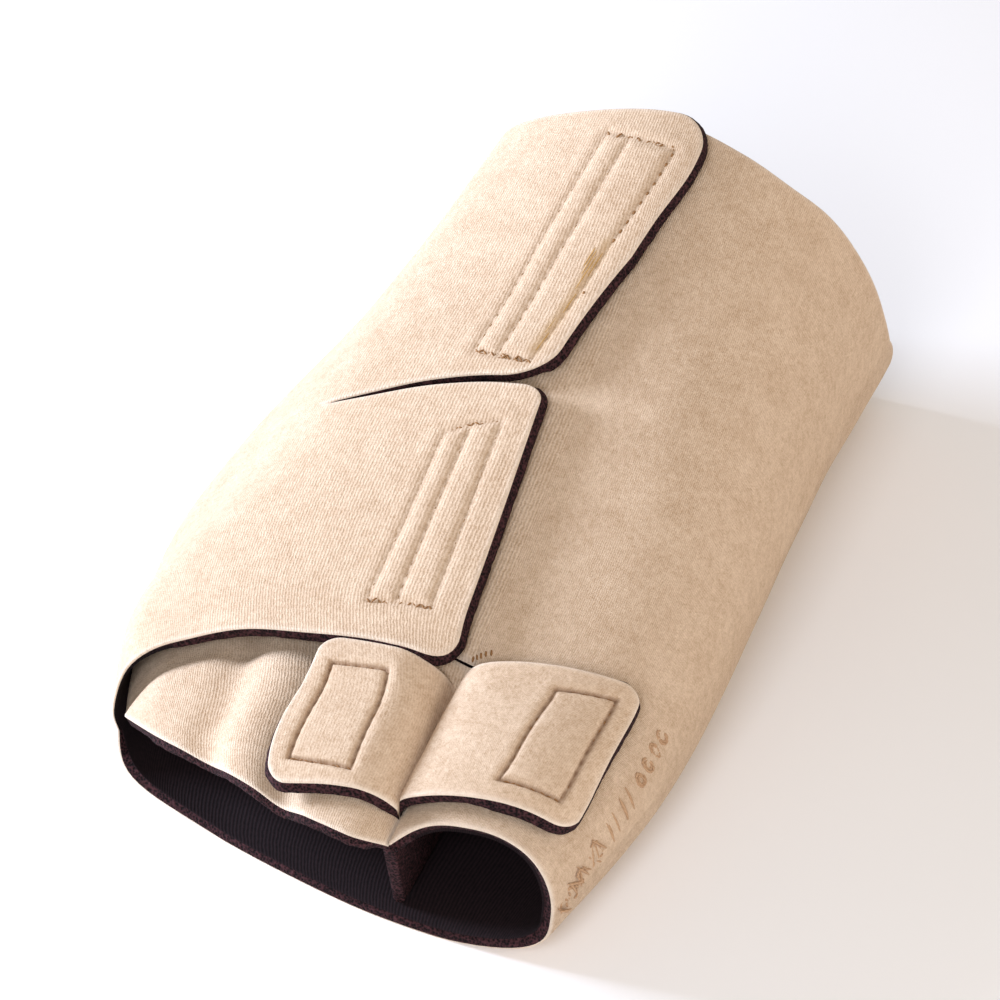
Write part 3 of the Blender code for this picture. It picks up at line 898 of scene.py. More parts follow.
@dataclass
class StitchMaker:
    """Lays seams as separate stitches: short bowed beads of thread that dip into the cloth at both ends."""

    locate: Locate
    height: Callable[[Array, Array], Array]
    dip: float = 0.30 * MM
    probe: float = 0.3 * MM
    wobble_size: float = 1.7 * MM
    sides: int = 8
    rings: int = 6

    def build(self, name: str, seams: Iterable[Seam], material: bpy.types.Material) -> bpy.types.Object:
        """Make some seams as one piece, and say that it moves with the wrap.

        Args:
            name: The piece's name.
            seams: The seams to lay.
            material: The thread's material.

        Returns:
            The finished object.
        """
        mesh = bmesh.new()
        for seam in seams:
            path = SurfacePath(self.locate, seam.corners)
            spans = seam.spans(path.length)
            starts, normals = self.spots(path, seam, spans[:, 0], spans[:, 1])
            ends, _ = self.spots(path, seam, spans[:, 2], spans[:, 3])
            for start, end, normal in zip(starts, ends, normals):
                shift = seam.wobble * MM * waver(Vector(start), self.wobble_size)
                self.bead(mesh, Vector(start) + shift, Vector(end) + shift, Vector(normal), seam.radius * MM)
        piece = finish_mesh(name, mesh, [material])
        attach(piece, "root")
        return piece

    def spots(self, path: SurfacePath, seam: Seam, lengths: Array, sides: Array) -> tuple[Array, Array]:
        """Place the stitches' ends on the face.

        Args:
            path: The seam's path.
            seam: The seam.
            lengths: Lengths along the path.
            sides: Distances to the path's side.

        Returns:
            The points, and the face's normals there.
        """
        lengths = np.clip(lengths, 0, path.length)
        level = np.zeros(lengths.shape)
        before = self.locate(*path.at(np.maximum(lengths - self.probe, 0)), level)
        after = self.locate(*path.at(np.minimum(lengths + self.probe, path.length)), level)
        turn, along = path.at(lengths)
        normal = self.locate(turn, along, level + MM) - self.locate(turn, along, level)
        normal /= np.linalg.norm(normal, axis=1, keepdims=True)
        across = np.cross(normal, after - before)
        across /= np.linalg.norm(across, axis=1, keepdims=True)
        lift = self.height(turn, along) - seam.sink * MM
        return self.locate(turn, along, lift) + across * sides[:, None], normal

    def bead(
        self, mesh: bmesh.types.BMesh, start: Vector, end: Vector, normal: Vector, radius: float,
    ) -> None:
        """Add one stitch between two points.

        Args:
            mesh: The threads' mesh.
            start: The first point.
            end: The second point.
            normal: The way out of the cloth.
            radius: The thread's radius.
        """
        axis = end - start
        reach = axis.length / 2 + radius
        middle = (start + end) / 2
        turned = axis.to_track_quat("Z", "Y").to_matrix().to_4x4()
        matrix = Matrix.Translation(middle) @ turned @ Matrix.Diagonal((radius, radius, reach, 1))
        made = bmesh.ops.create_uvsphere(
            mesh, u_segments=self.sides, v_segments=self.rings, radius=1, matrix=matrix)
        along = axis.normalized()
        for vert in made["verts"]:
            share = (vert.co - middle).dot(along) / reach
            vert.co -= normal * self.dip * abs(share) ** 3


def finish_mesh(
    name: str, mesh: bmesh.types.BMesh, materials: Sequence[bpy.types.Material],
) -> bpy.types.Object:
    """Turn a bmesh into a smooth-shaded object at the origin.

    Args:
        name: The object's name.
        mesh: The bmesh, which is freed.
        materials: Its materials, in the order of the faces' indices.

    Returns:
        The linked object.
    """
    for face in mesh.faces:
        face.smooth = True
    data = bpy.data.meshes.new(name)
    mesh.to_mesh(data)
    mesh.free()
    for material in materials:
        data.materials.append(material)
    piece = bpy.data.objects.new(name, data)
    bpy.context.scene.collection.objects.link(piece)
    return piece


class Layer(Enum):
    """Which material a laminate's face takes."""

    KNIT = 0
    FOAM = 1
    LINING = 2


def level(turn: Array, along: Array) -> Array:
    """No relief."""
    return np.zeros(np.shape(turn))


@dataclass
class Laminate:
    """One cut of laminate: a grid of places, thickened inwards, with a rounded face edge and a foam rim."""

    name: str
    turns: Array
    alongs: Array
    lift: Callable[[Array, Array], Array]
    flare: Callable[[Array, Array], Array] = level
    pinch: Callable[[Array, Array], Array] = level
    locate: Locate = FORM.surface
    open_cells: Callable[[int, int], bool] | None = None
    quilts: Sequence[Quilting] = ()
    thickness: float = 2.4 * MM
    edge_radius: float = 0.45 * MM
    inner_rounding: float = 0.5
    stain_share: float = 0.22
    # How much cut edges lighten: partly pale fuzz, partly painted highlight
    fuzz_and_highlight_share: float = 0.45
    fuzz_and_highlight_width: float = 0.6 * MM
    rim_spacing: float = 0.2 * MM
    rim_cuts: int = 4
    rim_bulge: float = 0.10 * MM
    rim_rough: float = 0.14 * MM
    rim_grain: float = 1.3 * MM
    fine_cuts: int = 2
    fine_margin: float = 3.2 * MM
    lump: float = 0.20 * MM
    lump_size: float = 17 * MM
    merge: float = 0.002 * MM
    uv_turn: float = FORM.quarter_turn

    def build(self, materials: Sequence[bpy.types.Material]) -> bpy.types.Object:
        """Make the cut.

        Args:
            materials: Those of its knit, foam and lining.

        Returns:
            The finished object.
        """
        mesh = self.grid()
        self.measure_rim(mesh)
        self.thicken(mesh)
        self.refine(mesh)
        self.settle(mesh)
        self.flare_rim(mesh)
        self.dress(mesh)
        return finish_mesh(self.name, mesh, materials)

    def grid(self) -> bmesh.types.BMesh:
        """Lay the grid of places on the form and leave its open cells out.

        Returns:
            The mesh, one layer thick.
        """
        columns, rows = self.turns.shape
        mesh = bmesh.new()
        place = mesh.verts.layers.float_vector.new("place")
        mesh.verts.layers.float.new("rim")
        bmesh.ops.create_grid(mesh, x_segments=columns - 1, y_segments=rows - 1, size=1)
        if self.open_cells:
            left_out = []
            for face in mesh.faces:
                middle = face.calc_center_median()
                column = int((middle.x + 1) / 2 * (columns - 1))
                row = int((middle.y + 1) / 2 * (rows - 1))
                if self.open_cells(column, row):
                    left_out.append(face)
            bmesh.ops.delete(mesh, geom=left_out, context="FACES")
        for vert in mesh.verts:
            column = round((vert.co.x + 1) / 2 * (columns - 1))
            row = round((vert.co.y + 1) / 2 * (rows - 1))
            vert[place] = (self.turns[column, row], self.alongs[column, row], 0)
        turn, along, _ = self.places(mesh)
        base = self.locate(turn, along, self.lift(turn, along))
        for vert, point in zip(mesh.verts, base):
            vert.co = point
        bmesh.ops.remove_doubles(mesh, verts=mesh.verts, dist=self.merge)
        return mesh

    def places(self, mesh: bmesh.types.BMesh) -> tuple[Array, Array, Array]:
        """Read where the vertices lie on the form.

        Args:
            mesh: The cut's mesh.

        Returns:
            Turns, lengths along the wrap and depths, which are 0 on the face and 1 on the lining.
        """
        layer = mesh.verts.layers.float_vector["place"]
        values = np.array([vert[layer][:] for vert in mesh.verts])
        return values[:, 0], values[:, 1], values[:, 2]

    def measure_rim(self, mesh: bmesh.types.BMesh) -> None:
        """Store each vertex's distance to the nearest cut edge.

        Args:
            mesh: The cut's mesh.
        """
        points = []
        for edge in mesh.edges:
            if edge.is_boundary:
                start, end = (vert.co for vert in edge.verts)
                count = max(int((end - start).length / self.rim_spacing), 1)
                points += [start.lerp(end, step / count) for step in range(count)]
        trace = Trace(np.array(points), np.zeros(len(points)))
        distance, _ = trace.nearest([vert.co for vert in mesh.verts])
        rim = mesh.verts.layers.float["rim"]
        for vert, value in zip(mesh.verts, distance):
            vert[rim] = 0.0 if vert.is_boundary else value

    def thicken(self, mesh: bmesh.types.BMesh) -> None:
        """Double the grid into an inner face, and cut the wall between them into rows.

        Args:
            mesh: The cut's mesh.
        """
        place = mesh.verts.layers.float_vector["place"]
        made = bmesh.ops.extrude_face_region(mesh, geom=list(mesh.faces), use_keep_orig=True)
        for item in made["geom"]:
            if isinstance(item, bmesh.types.BMVert):
                item[place] = (item[place].x, item[place].y, 1)
        upright = [edge for edge in mesh.edges if edge.verts[0][place].z != edge.verts[1][place].z]
        bmesh.ops.subdivide_edges(mesh, edges=upright, cuts=self.rim_cuts, use_grid_fill=True)

    def refine(self, mesh: bmesh.types.BMesh) -> None:
        """Split the outer face finely where a pad is sewn under it.

        Args:
            mesh: The cut's mesh.
        """
        place = mesh.verts.layers.float_vector["place"]
        edges = {}
        for quilt in self.quilts:
            for face in mesh.faces:
                outer = all(vert[place].z == 0 for vert in face.verts)
                if outer and quilt.trace.tree.find(face.calc_center_median())[2] < self.fine_margin:
                    edges.update(dict.fromkeys(face.edges))
        if edges:
            bmesh.ops.subdivide_edges(mesh, edges=list(edges), cuts=self.fine_cuts, use_grid_fill=True)

    def height(self, turn: Array, along: Array) -> Array:
        """Find how high the quilted face lies over the form, away from the cut edges.

        Args:
            turn: Turns of the places.
            along: Their lengths along the wrap.

        Returns:
            The lifts, in metres.
        """
        height = self.lift(turn, along)
        for quilt in self.quilts:
            height = height + quilt.relief(turn, along)[0]
        return height + self.lumps(self.locate(turn, along, self.lift(turn, along)))

    def lumps(self, points: Array) -> Array:
        """Soft unevenness of the cloth, the same for layers that lie on one another."""
        return np.array([noise.noise(Vector(point) / self.lump_size) for point in points]) * self.lump

    def settle(self, mesh: bmesh.types.BMesh) -> None:
        """Move every vertex to its final place, and store its painted groove shade, its stain and its pale
        edge fuzz with painted highlight.

        Args:
            mesh: The cut's mesh.
        """
        turn, along, depth = self.places(mesh)
        rim = mesh.verts.layers.float["rim"]
        # Colour marks for the knit: painted groove shade, stain, and pale edge fuzz with painted highlight
        painted_shade_stain_highlight = mesh.verts.layers.float_color.new("painted_shade_stain_highlight")
        distance = np.array([vert[rim] for vert in mesh.verts])
        lift = self.lift(turn, along)
        short = np.clip(self.edge_radius - distance, 0, self.edge_radius)
        drop = self.edge_radius - np.sqrt(self.edge_radius**2 - short**2)
        face = depth == 0
        # The grooves' darkening gathered here is painted shade
        relief, painted_groove_shade, stained = np.zeros((3, len(turn)))
        for quilt in self.quilts:
            rise, shade, stain = quilt.relief(turn[face], along[face])
            relief[face] += rise
            painted_groove_shade[face] = np.maximum(painted_groove_shade[face], shade)
            stained[face] = np.maximum(stained[face], stain)
        lumps = self.lumps(self.locate(turn, along, lift))
        outer = lift + lumps + relief - drop
        inner = lift + lumps - self.thickness * (1 - self.pinch(turn, along)) + drop * self.inner_rounding
        points = self.locate(turn, along, outer + (inner - outer) * depth)
        points[:, 2] = np.maximum(points[:, 2], 0)
        # Cut edges lighten, partly for the knit's pale fuzz and partly as painted highlight on the rounded
        # edge
        fuzz_and_highlight = self.fuzz_and_highlight_share * np.exp(-((distance / self.fuzz_and_highlight_width) ** 2))
        for vert, point, shade, stain, light in zip(mesh.verts, points, painted_groove_shade, stained, fuzz_and_highlight):
            vert.co = point
            vert[painted_shade_stain_highlight] = (shade, self.stain_share * stain, light, 1)

    def flare_rim(self, mesh: bmesh.types.BMesh) -> None:
        """Turn all faces outwards, then let the cut foam spread, bulge and roughen beyond the knit's edge.

        Args:
            mesh: The cut's mesh.
        """
        bmesh.ops.recalc_face_normals(mesh, faces=mesh.faces)
        if mesh.calc_volume(signed=True) < 0:
            bmesh.ops.reverse_faces(mesh, faces=mesh.faces)
        mesh.normal_update()
        place = mesh.verts.layers.float_vector["place"]
        rim = mesh.verts.layers.float["rim"]
        turn, along, _ = self.places(mesh)
        reach = self.flare(turn, along)
        moves = []
        for vert, spread in zip(mesh.verts, reach):
            depth = vert[place].z
            if vert[rim] > 0 or depth == 0:
                continue
            walls = [face for face in vert.link_faces if len({corner[place].z for corner in face.verts}) > 1]
            outward = sum((face.normal * face.calc_area() for face in walls), Vector())
            if outward.length == 0:
                continue
            rough = self.rim_rough * noise.noise(vert.co / self.rim_grain)
            bulge = self.rim_bulge * math.sin(math.pi * depth)
            moves.append((vert, outward.normalized() * (spread * depth + bulge + rough)))
        for vert, move in moves:
            vert.co += move
            vert.co.z = max(vert.co.z, 0)

    def dress(self, mesh: bmesh.types.BMesh) -> None:
        """Give each face its material and its place in the cloth's own map.

        Args:
            mesh: The cut's mesh.
        """
        place = mesh.verts.layers.float_vector["place"]
        cloth = mesh.loops.layers.uv.new("cloth")
        for face in mesh.faces:
            depths = [vert[place].z for vert in face.verts]
            if max(depths) == 0:
                face.material_index = Layer.KNIT.value
            elif min(depths) == 1:
                face.material_index = Layer.LINING.value
            else:
                face.material_index = Layer.FOAM.value
            for loop in face.loops:
                spot = loop.vert[place]
                loop[cloth].uv = (spot.x * self.uv_turn, spot.y + spot.z * self.thickness)


# How rows crowd towards a cut edge, and columns towards the web's crease, where cuts meet with a small gap
EDGE_OFFSETS = (0.0, 0.12 * MM, 0.30 * MM, 0.6 * MM, 1.1 * MM, 1.9 * MM)
WEB_OFFSETS = (0.0, 0.005, 0.012, 0.024, 0.042)
WEB_GAP = 0.002


def graded(start: float, end: float, count: int, at_start: bool, at_end: bool) -> Array:
    """Places from a start to an end that crowd towards cut edges.

    Args:
        start: First place.
        end: Last place.
        count: Number of even steps between the crowded ends.
        at_start: Whether the start is a cut edge.
        at_end: Whether the end is a cut edge.

    Returns:
        The places, with both ends.
    """
    sign = 1 if end > start else -1
    scale = min(1.0, abs(end - start) / (4 * EDGE_OFFSETS[-1]))
    offsets = np.array(EDGE_OFFSETS) * sign * scale
    first = start + offsets if at_start else np.array([start])
    last = end - offsets[::-1] if at_end else np.array([end])
    middle = np.linspace(first[-1], last[0], count + 1)[1:-1]
    return np.concatenate([first, middle, last])


def corner_inset(distance: float, radius: float) -> float:
    """How far a rounded corner draws an edge in, at a distance from the end of the piece."""
    short = min(max(radius - distance, 0), radius)
    return radius - math.sqrt(radius**2 - short**2)


def corner_shares(start: float, steps: int, reach: float) -> list[float]:
    """Shares of a piece's reach that crowd towards its free end, over its rounded corners.

    Args:
        start: Share of the reach that the corners take.
        steps: Number of steps over the corners.
        reach: How far the piece reaches.

    Returns:
        The shares, the last one just before the end.
    """
    shares = [1 - start * (1 - math.sin(math.pi / 2 * step / steps)) for step in range(steps + 1)]
    return [*shares, 1 - EDGE_OFFSETS[1] / reach]


class Lifts:
    """Thicknesses and lifts of the layers, as in the solids."""

    FABRIC: float = 2.4 * MM
    HOOK: float = 1.0 * MM
    CLEARANCE: float = 0.4 * MM
    STRAP: float = FABRIC + HOOK + 2 * CLEARANCE


def strap_face(turn: Array, along: Array, lift: Array) -> Array:
    """Points over the common face of straps and tabs."""
    return FORM.surface(turn, along, Lifts.STRAP + lift)


def in_metres(places: Places, shift: float = 0.0) -> list[tuple[float, float]]:
    """Places given as turns and mm along the wrap, as turns with a shift and metres."""
    return [(turn + shift, along * MM) for turn, along in places]


def bowed(start: tuple[float, float], end: tuple[float, float], bow: float, count: int = 8) -> Places:
    """Lay places on a line that bows aside.

    Args:
        start: The first place.
        end: The last place.
        bow: How far its middle bows, in turns.
        count: Number of steps.

    Returns:
        The places.
    """
    share = np.linspace(0, 1, count + 1)
    turns = start[0] + (end[0] - start[0]) * share + bow * 4 * share * (1 - share)
    return list(zip(turns, start[1] + (end[1] - start[1]) * share))


@dataclass
class FootWrap:
    """The main cut: sole, side walls, big toe cover, underlap and the two straps."""

    underlap_end: float = 1.38
    toe_edge: Edge = cut_edge(
        (0.998, -0.515), (0.87, -0.496), (0.65, -0.487), (0.40, -0.487), (0.15, -0.495), (-0.30, -0.502),
        (-1.00, -0.497), (-1.20, -0.480), (-1.43, -0.452), (-1.73, -0.430), (-1.95, -0.408),
        (-2.12, -0.394), (-2.20, -0.372), (-2.29, -0.354), (-2.41, -0.337), (-2.62, -0.320),
        (-2.76, -0.312), (-3.00, -0.311))
    underlap_toe_edge: float = -0.286
    middle_row: Edge = cut_edge(
        (1.40, -0.286), (0.60, -0.286), (0.00, -0.286), (-1.00, -0.270), (-2.00, -0.220), (-3.00, -0.180))
    heel_edge: Edge = cut_edge(
        (1.40, 0.362), (1.00, 0.367), (0.79, 0.360), (0.63, 0.363), (0.48, 0.380), (0.33, 0.398),
        (0.17, 0.423), (-0.05, 0.467), (-0.30, 0.486), (-0.70, 0.498), (-1.00, 0.500), (-1.50, 0.496),
        (-1.80, 0.478), (-2.10, 0.440), (-2.40, 0.395), (-2.69, 0.362), (-2.90, 0.366), (-3.10, 0.362))
    slit: Edge = cut_edge(
        (-2.54, -0.0225), (-2.61, -0.0140), (-2.76, 0.0100), (-2.83, 0.0190), (-2.94, 0.0275))
    slit_opening: float = 1.5 * MM
    upper_free_edge: Places = (
        (0.0, -2.935), (0.2, -2.953), (0.4, -2.983), (0.6, -3.030), (0.8, -3.085), (1.0, -3.095))
    lower_free_edge: Places = ((0.0, -2.975), (0.5, -2.961), (1.0, -2.946))
    strap_corner: float = 6.0 * MM
    small_corner: float = 3.0 * MM
    rise_turn: float = 1.72
    rise_turn_toes: float = 2.05
    rise_run: float = 0.30
    rise_shift_start: float = -0.09
    rise_shift_full: float = -0.31
    strap_start: float = -2.60
    strap_run: float = 0.25
    corner_turn: float = -2.10
    corner_width: float = 0.22
    toe_flare_end: float = -2.35
    web_start: float = 0.9
    strap_flare: float = 0.95 * MM
    side_flare: float = 0.25 * MM
    toe_flare: float = -0.6 * MM
    corner_flare: float = -1.2 * MM
    corner_pinch: float = 0.72
    pinch_turn: float = -2.08
    pinch_width: float = 0.26
    pinch_reach: float = 9.0 * MM
    slit_flare: float = 0.25 * MM
    slit_reach: float = 4.0 * MM
    slit_end: float = 0.97
    toe_rows: int = 22
    middle_rows: int = 30
    heel_rows: int = 44
    underlap_steps: int = 10
    medial_steps: int = 62
    sole_steps: int = 50
    outer_steps: int = 30
    strap_steps: int = 26
    corner_steps: int = 9
    # Seams that hold the hook pads, from the heel side, as turns near the crest and mm along the wrap
    upper_left: Places = ((1.146, 52.8), (1.186, 31.0), (1.206, 8.2))
    upper_middle: Places = ((1.088, 52.2), (1.136, 30.2), (1.160, 7.8))
    upper_right: Places = ((0.978, 51.2), (1.046, 32.0), (1.088, 11.8), (1.098, 7.5))
    lower_left: Places = ((1.188, -8.0), (1.189, -25.0), (1.202, -42.2))
    lower_middle: Places = ((1.148, -5.6), (1.148, -25.5), (1.150, -41.4))
    lower_right: Places = ((1.100, -4.0), (1.094, -22.0), (1.088, -40.8))
    # Seam over the big toe's side: a dense zigzag, bars and loops, from the toe edge to the ball
    zigzag: Places = ((-0.070, -77.6), (0.060, -72.0), (0.112, -65.4))
    bars: Places = ((0.100, -64.0), (0.160, -54.8))
    loops: Places = ((0.170, -53.6), (0.251, -46.0), (0.283, -41.5))
    bar_tack: Places = ((1.010, -45.0), (0.948, -43.4))
    speck: Places = ((1.059, 21.9), (1.059, 22.5))

    def lift(self, turn: Array, along: Array) -> Array:
        """Lift the face: not at all on the side, by a layer and a pad over the underlap.

        Args:
            turn: Turns of the places.
            along: Their lengths along the wrap.

        Returns:
            The lifts, in metres.
        """
        share = (self.rise_shift_start - along / FORM.length) / (self.rise_shift_start - self.rise_shift_full)
        start = self.rise_turn + (self.rise_turn_toes - self.rise_turn) * smooth(share)
        return Lifts.STRAP * smooth((start - 4 - turn) / self.rise_run) * (turn < -1)

    def flare(self, turn: Array, along: Array) -> Array:
        """Spread the foam past the knit: most on the straps, not at all where cuts meet.

        Args:
            turn: Turns of the places.
            along: Their lengths along the wrap.

        Returns:
            How far it spreads.
        """
        strap = smooth((self.strap_start - turn) / self.strap_run)
        corner = np.exp(-(((turn - self.corner_turn) / self.corner_width) ** 2))
        toes = along < self.underlap_toe_edge * FORM.length
        side = np.where(toes, self.toe_flare + (self.corner_flare - self.toe_flare) * corner, self.side_flare)
        side = np.where(turn < self.toe_flare_end, self.side_flare, side)
        spread = side + (self.strap_flare - side) * strap
        aside = np.abs(along - curve(self.slit, turn) * FORM.length)
        in_slit = (aside < self.slit_reach) & (turn < self.slit[0].turn)
        opened = np.clip((self.slit[0].turn - turn) / (self.slit[0].turn - self.slit[-1].turn), 0, 1)
        free_side = opened > self.slit_end
        spread = np.where(in_slit & ~free_side, self.slit_flare * opened, spread)
        return np.where((turn > self.web_start) & (along < 0), 0.0, spread)

    def pinch(self, turn: Array, along: Array) -> Array:
        """Thin the laminate where the strap pulls at the lateral corner of the toe edge.

        Args:
            turn: Turns of the places.
            along: Their lengths along the wrap.

        Returns:
            Share of the thickness that is lost.
        """
        corner = np.exp(-(((turn - self.pinch_turn) / self.pinch_width) ** 2))
        edge = curve(self.toe_edge, turn) * FORM.length
        return self.corner_pinch * corner * smooth(1 - (along - edge) / self.pinch_reach)

    def slit_edges(self, turn: float) -> tuple[float, float]:
        """Open the slit at a turn.

        Args:
            turn: The turn.

        Returns:
            Lengths along the wrap of its toe side and heel side.
        """
        first, last = self.slit[0], self.slit[-1]
        opened = min(max((first.turn - turn) / (first.turn - last.turn), 0), 1)
        middle = float(curve(self.slit, min(turn, first.turn))) * FORM.length
        half = self.slit_opening / 2 * math.sqrt(opened)
        return middle - half, middle + half

    def reach(self, turn: float) -> list[float]:
        """Lengths along the wrap of the toe edge, the middle row and the heel edge."""
        lines = (self.toe_edge, self.middle_row, self.heel_edge)
        return [float(curve(line, turn)) * FORM.length for line in lines]

    def rows(self, toe: float, middle: float, slit_toe: float, slit_heel: float, heel: float) -> Array:
        """Share out one column's rows.

        Args:
            toe: Length along the wrap of the toe edge.
            middle: Of the middle row.
            slit_toe: Of the slit's toe side.
            slit_heel: Of the slit's heel side.
            heel: Of the heel edge.

        Returns:
            Lengths along the wrap of all rows.
        """
        return np.concatenate([
            graded(toe, middle, self.toe_rows, True, False)[:-1],
            graded(middle, slit_toe, self.middle_rows, False, True),
            graded(slit_heel, heel, self.heel_rows, True, True),
        ])

    def columns(self) -> tuple[list[float], list[float]]:
        """Share out the columns.

        Returns:
            Turns up to the slit, and shares of the straps' reach past it.
        """
        web_side = 1 - WEB_GAP
        turns = list(np.linspace(self.underlap_end, 1 + WEB_GAP, self.underlap_steps, endpoint=False))
        turns += [1 + WEB_GAP, 1.0]
        turns += [web_side - offset for offset in WEB_OFFSETS[:-1]]
        turns += list(np.linspace(web_side - WEB_OFFSETS[-1], 0, self.medial_steps, endpoint=False))
        turns += list(np.linspace(0, -2, self.sole_steps, endpoint=False))
        turns += list(np.linspace(-2, self.slit[0].turn, self.outer_steps + 1))
        reach = abs(self.slit[-1].turn - self.slit[0].turn) * FORM.quarter_turn
        corner_share = self.strap_corner / reach
        shares = list(np.linspace(0, 1 - corner_share, self.strap_steps, endpoint=False))[1:]
        shares += corner_shares(corner_share, self.corner_steps, reach)
        return turns, sorted(shares)

    def places(self) -> tuple[Array, Array, Callable[[int, int], bool]]:
        """Lay out the grid.

        Returns:
            Turns and lengths of its vertices, and the rule for its open cells.
        """
        turns, shares = self.columns()
        toe_cells = self.toe_rows + len(EDGE_OFFSETS) - 1
        slit_row = toe_cells + self.middle_rows + len(EDGE_OFFSETS) - 1
        all_turns, all_alongs = [], []
        for turn in turns:
            toe, middle, heel = self.reach(turn)
            along = self.rows(toe, middle, *self.slit_edges(turn), heel)
            all_turns.append(np.full(along.shape, turn))
            all_alongs.append(along)
        start = self.slit[0].turn
        reach = abs(self.slit[-1].turn - start)
        for share in shares:
            turn = start - reach * share
            toe, middle, heel = self.reach(turn)
            slit_toe, slit_heel = self.slit_edges(turn)
            large = corner_inset((1 - share) * reach * FORM.quarter_turn, self.strap_corner)
            small = corner_inset((1 - share) * reach * FORM.quarter_turn, self.small_corner)
            along = self.rows(toe + large, middle, slit_toe - small, slit_heel + large, heel - large)
            lower = curve(self.lower_free_edge, (along[: slit_row + 1] - toe) / (slit_toe - toe))
            upper = curve(self.upper_free_edge, (along[slit_row + 1:] - slit_heel) / (heel - slit_heel))
            all_turns.append(start + (np.concatenate([lower, upper]) - start) * share)
            all_alongs.append(along)
        web_columns = sum(turn > 1 - WEB_GAP for turn in turns)

        def open_cell(column: int, row: int) -> bool:
            """Whether the cell lies in the slit or in the gap before the underlap."""
            return row == slit_row or (column < web_columns and row < toe_cells)

        return np.array(all_turns), np.array(all_alongs), open_cell

    def quilts(self) -> list[Quilting]:
        """Relief over the hook pads of the two straps.

        Returns:
            The relief of each strap.
        """
        made = []
        for sides, stain in (
            ((self.upper_left, self.upper_middle, self.upper_right), ((1.052, 32.0), (1.098, 10.0))),
            ((self.lower_left, self.lower_middle, self.lower_right), None),
        ):
            lines = [in_metres(line, -4) for line in sides]
            lines += [[line[0] for line in lines], [line[-1] for line in lines]]
            stain = in_metres(stain, -4) if stain else None
            made.append(Quilting(strap_face, lines[0] + lines[2][::-1], lines, stain=stain))
        return made

    def build(self, finishes: Finishes) -> list[bpy.types.Object]:
        """Make the cut, and its threads as pieces of their own.

        Args:
            finishes: The shared materials.

        Returns:
            The pieces made, the one that stands for a solid first.
        """
        turns, alongs, open_cell = self.places()
        laminate = Laminate(
            "wrap_laminate", turns, alongs, self.lift, self.flare, self.pinch, open_cells=open_cell,
            quilts=self.quilts())
        piece = laminate.build([finishes.knit, finishes.foam, finishes.lining])
        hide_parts("foot_wrap")
        return [piece, *self.sew_straps(laminate, finishes), *self.sew_side(laminate, finishes)]

    def sew_straps(self, laminate: Laminate, finishes: Finishes) -> list[bpy.types.Object]:
        """Lay the threads over the two hook pads.

        Args:
            laminate: The cut that the threads are sewn to.
            finishes: The shared materials.

        Returns:
            The threads.
        """
        maker = StitchMaker(laminate.locate, laminate.height)
        upper, lower = (quilt.lines for quilt in laminate.quilts)
        pale = [Seam(line, fill=0.4, radius=0.15, sink=0.03) for line in (*upper[:2], *lower[:3])]
        right = in_metres(self.upper_right, -4)
        brown = [
            Seam(right[:2], pitch=2.2, fill=0.32, radius=0.26, sink=0.0),
            Seam(upper[3], StitchKind.ZIGZAG, 0.75, 1.1, 0.19, sink=0.0, wobble=1.0),
            Seam(upper[3], StitchKind.LOOPS, 1.9, 1.3, 0.15, sink=0.0, wobble=0.8),
            Seam(upper[4], StitchKind.ZIGZAG, 0.8, 0.7, 0.17, sink=0.0, wobble=0.6),
            Seam(upper[4], StitchKind.LOOPS, 3.1, 1.2, 0.14, sink=0.0, wobble=0.5),
            Seam(lower[3], StitchKind.ZIGZAG, 0.7, 0.5, 0.15, sink=0.0, wobble=0.5),
            Seam(lower[4], StitchKind.ZIGZAG, 0.75, 0.9, 0.17, sink=0.0, wobble=0.6),
            Seam(lower[1][1:], pitch=2.4, fill=0.3, radius=0.15),
            Seam(in_metres(self.speck, -4), pitch=0.6, fill=0.6, radius=0.24, sink=0.0),
        ]
        gold = [
            Seam(
                [(turn + shift, along) for turn, along in right[1:]], pitch=pitch, radius=0.09, fill=0.9,
                sink=0.03, wobble=0.25)
            for shift, pitch in ((0.004, 8.2), (0.009, 12.4), (0.016, 8.2), (0.022, 6.2))
        ]
        return [
            maker.build("strap_side_threads", pale, finishes.pale_thread),
            maker.build("strap_end_threads", brown, finishes.brown_thread),
            maker.build("strap_edge_threads", gold, finishes.gold_thread),
        ]

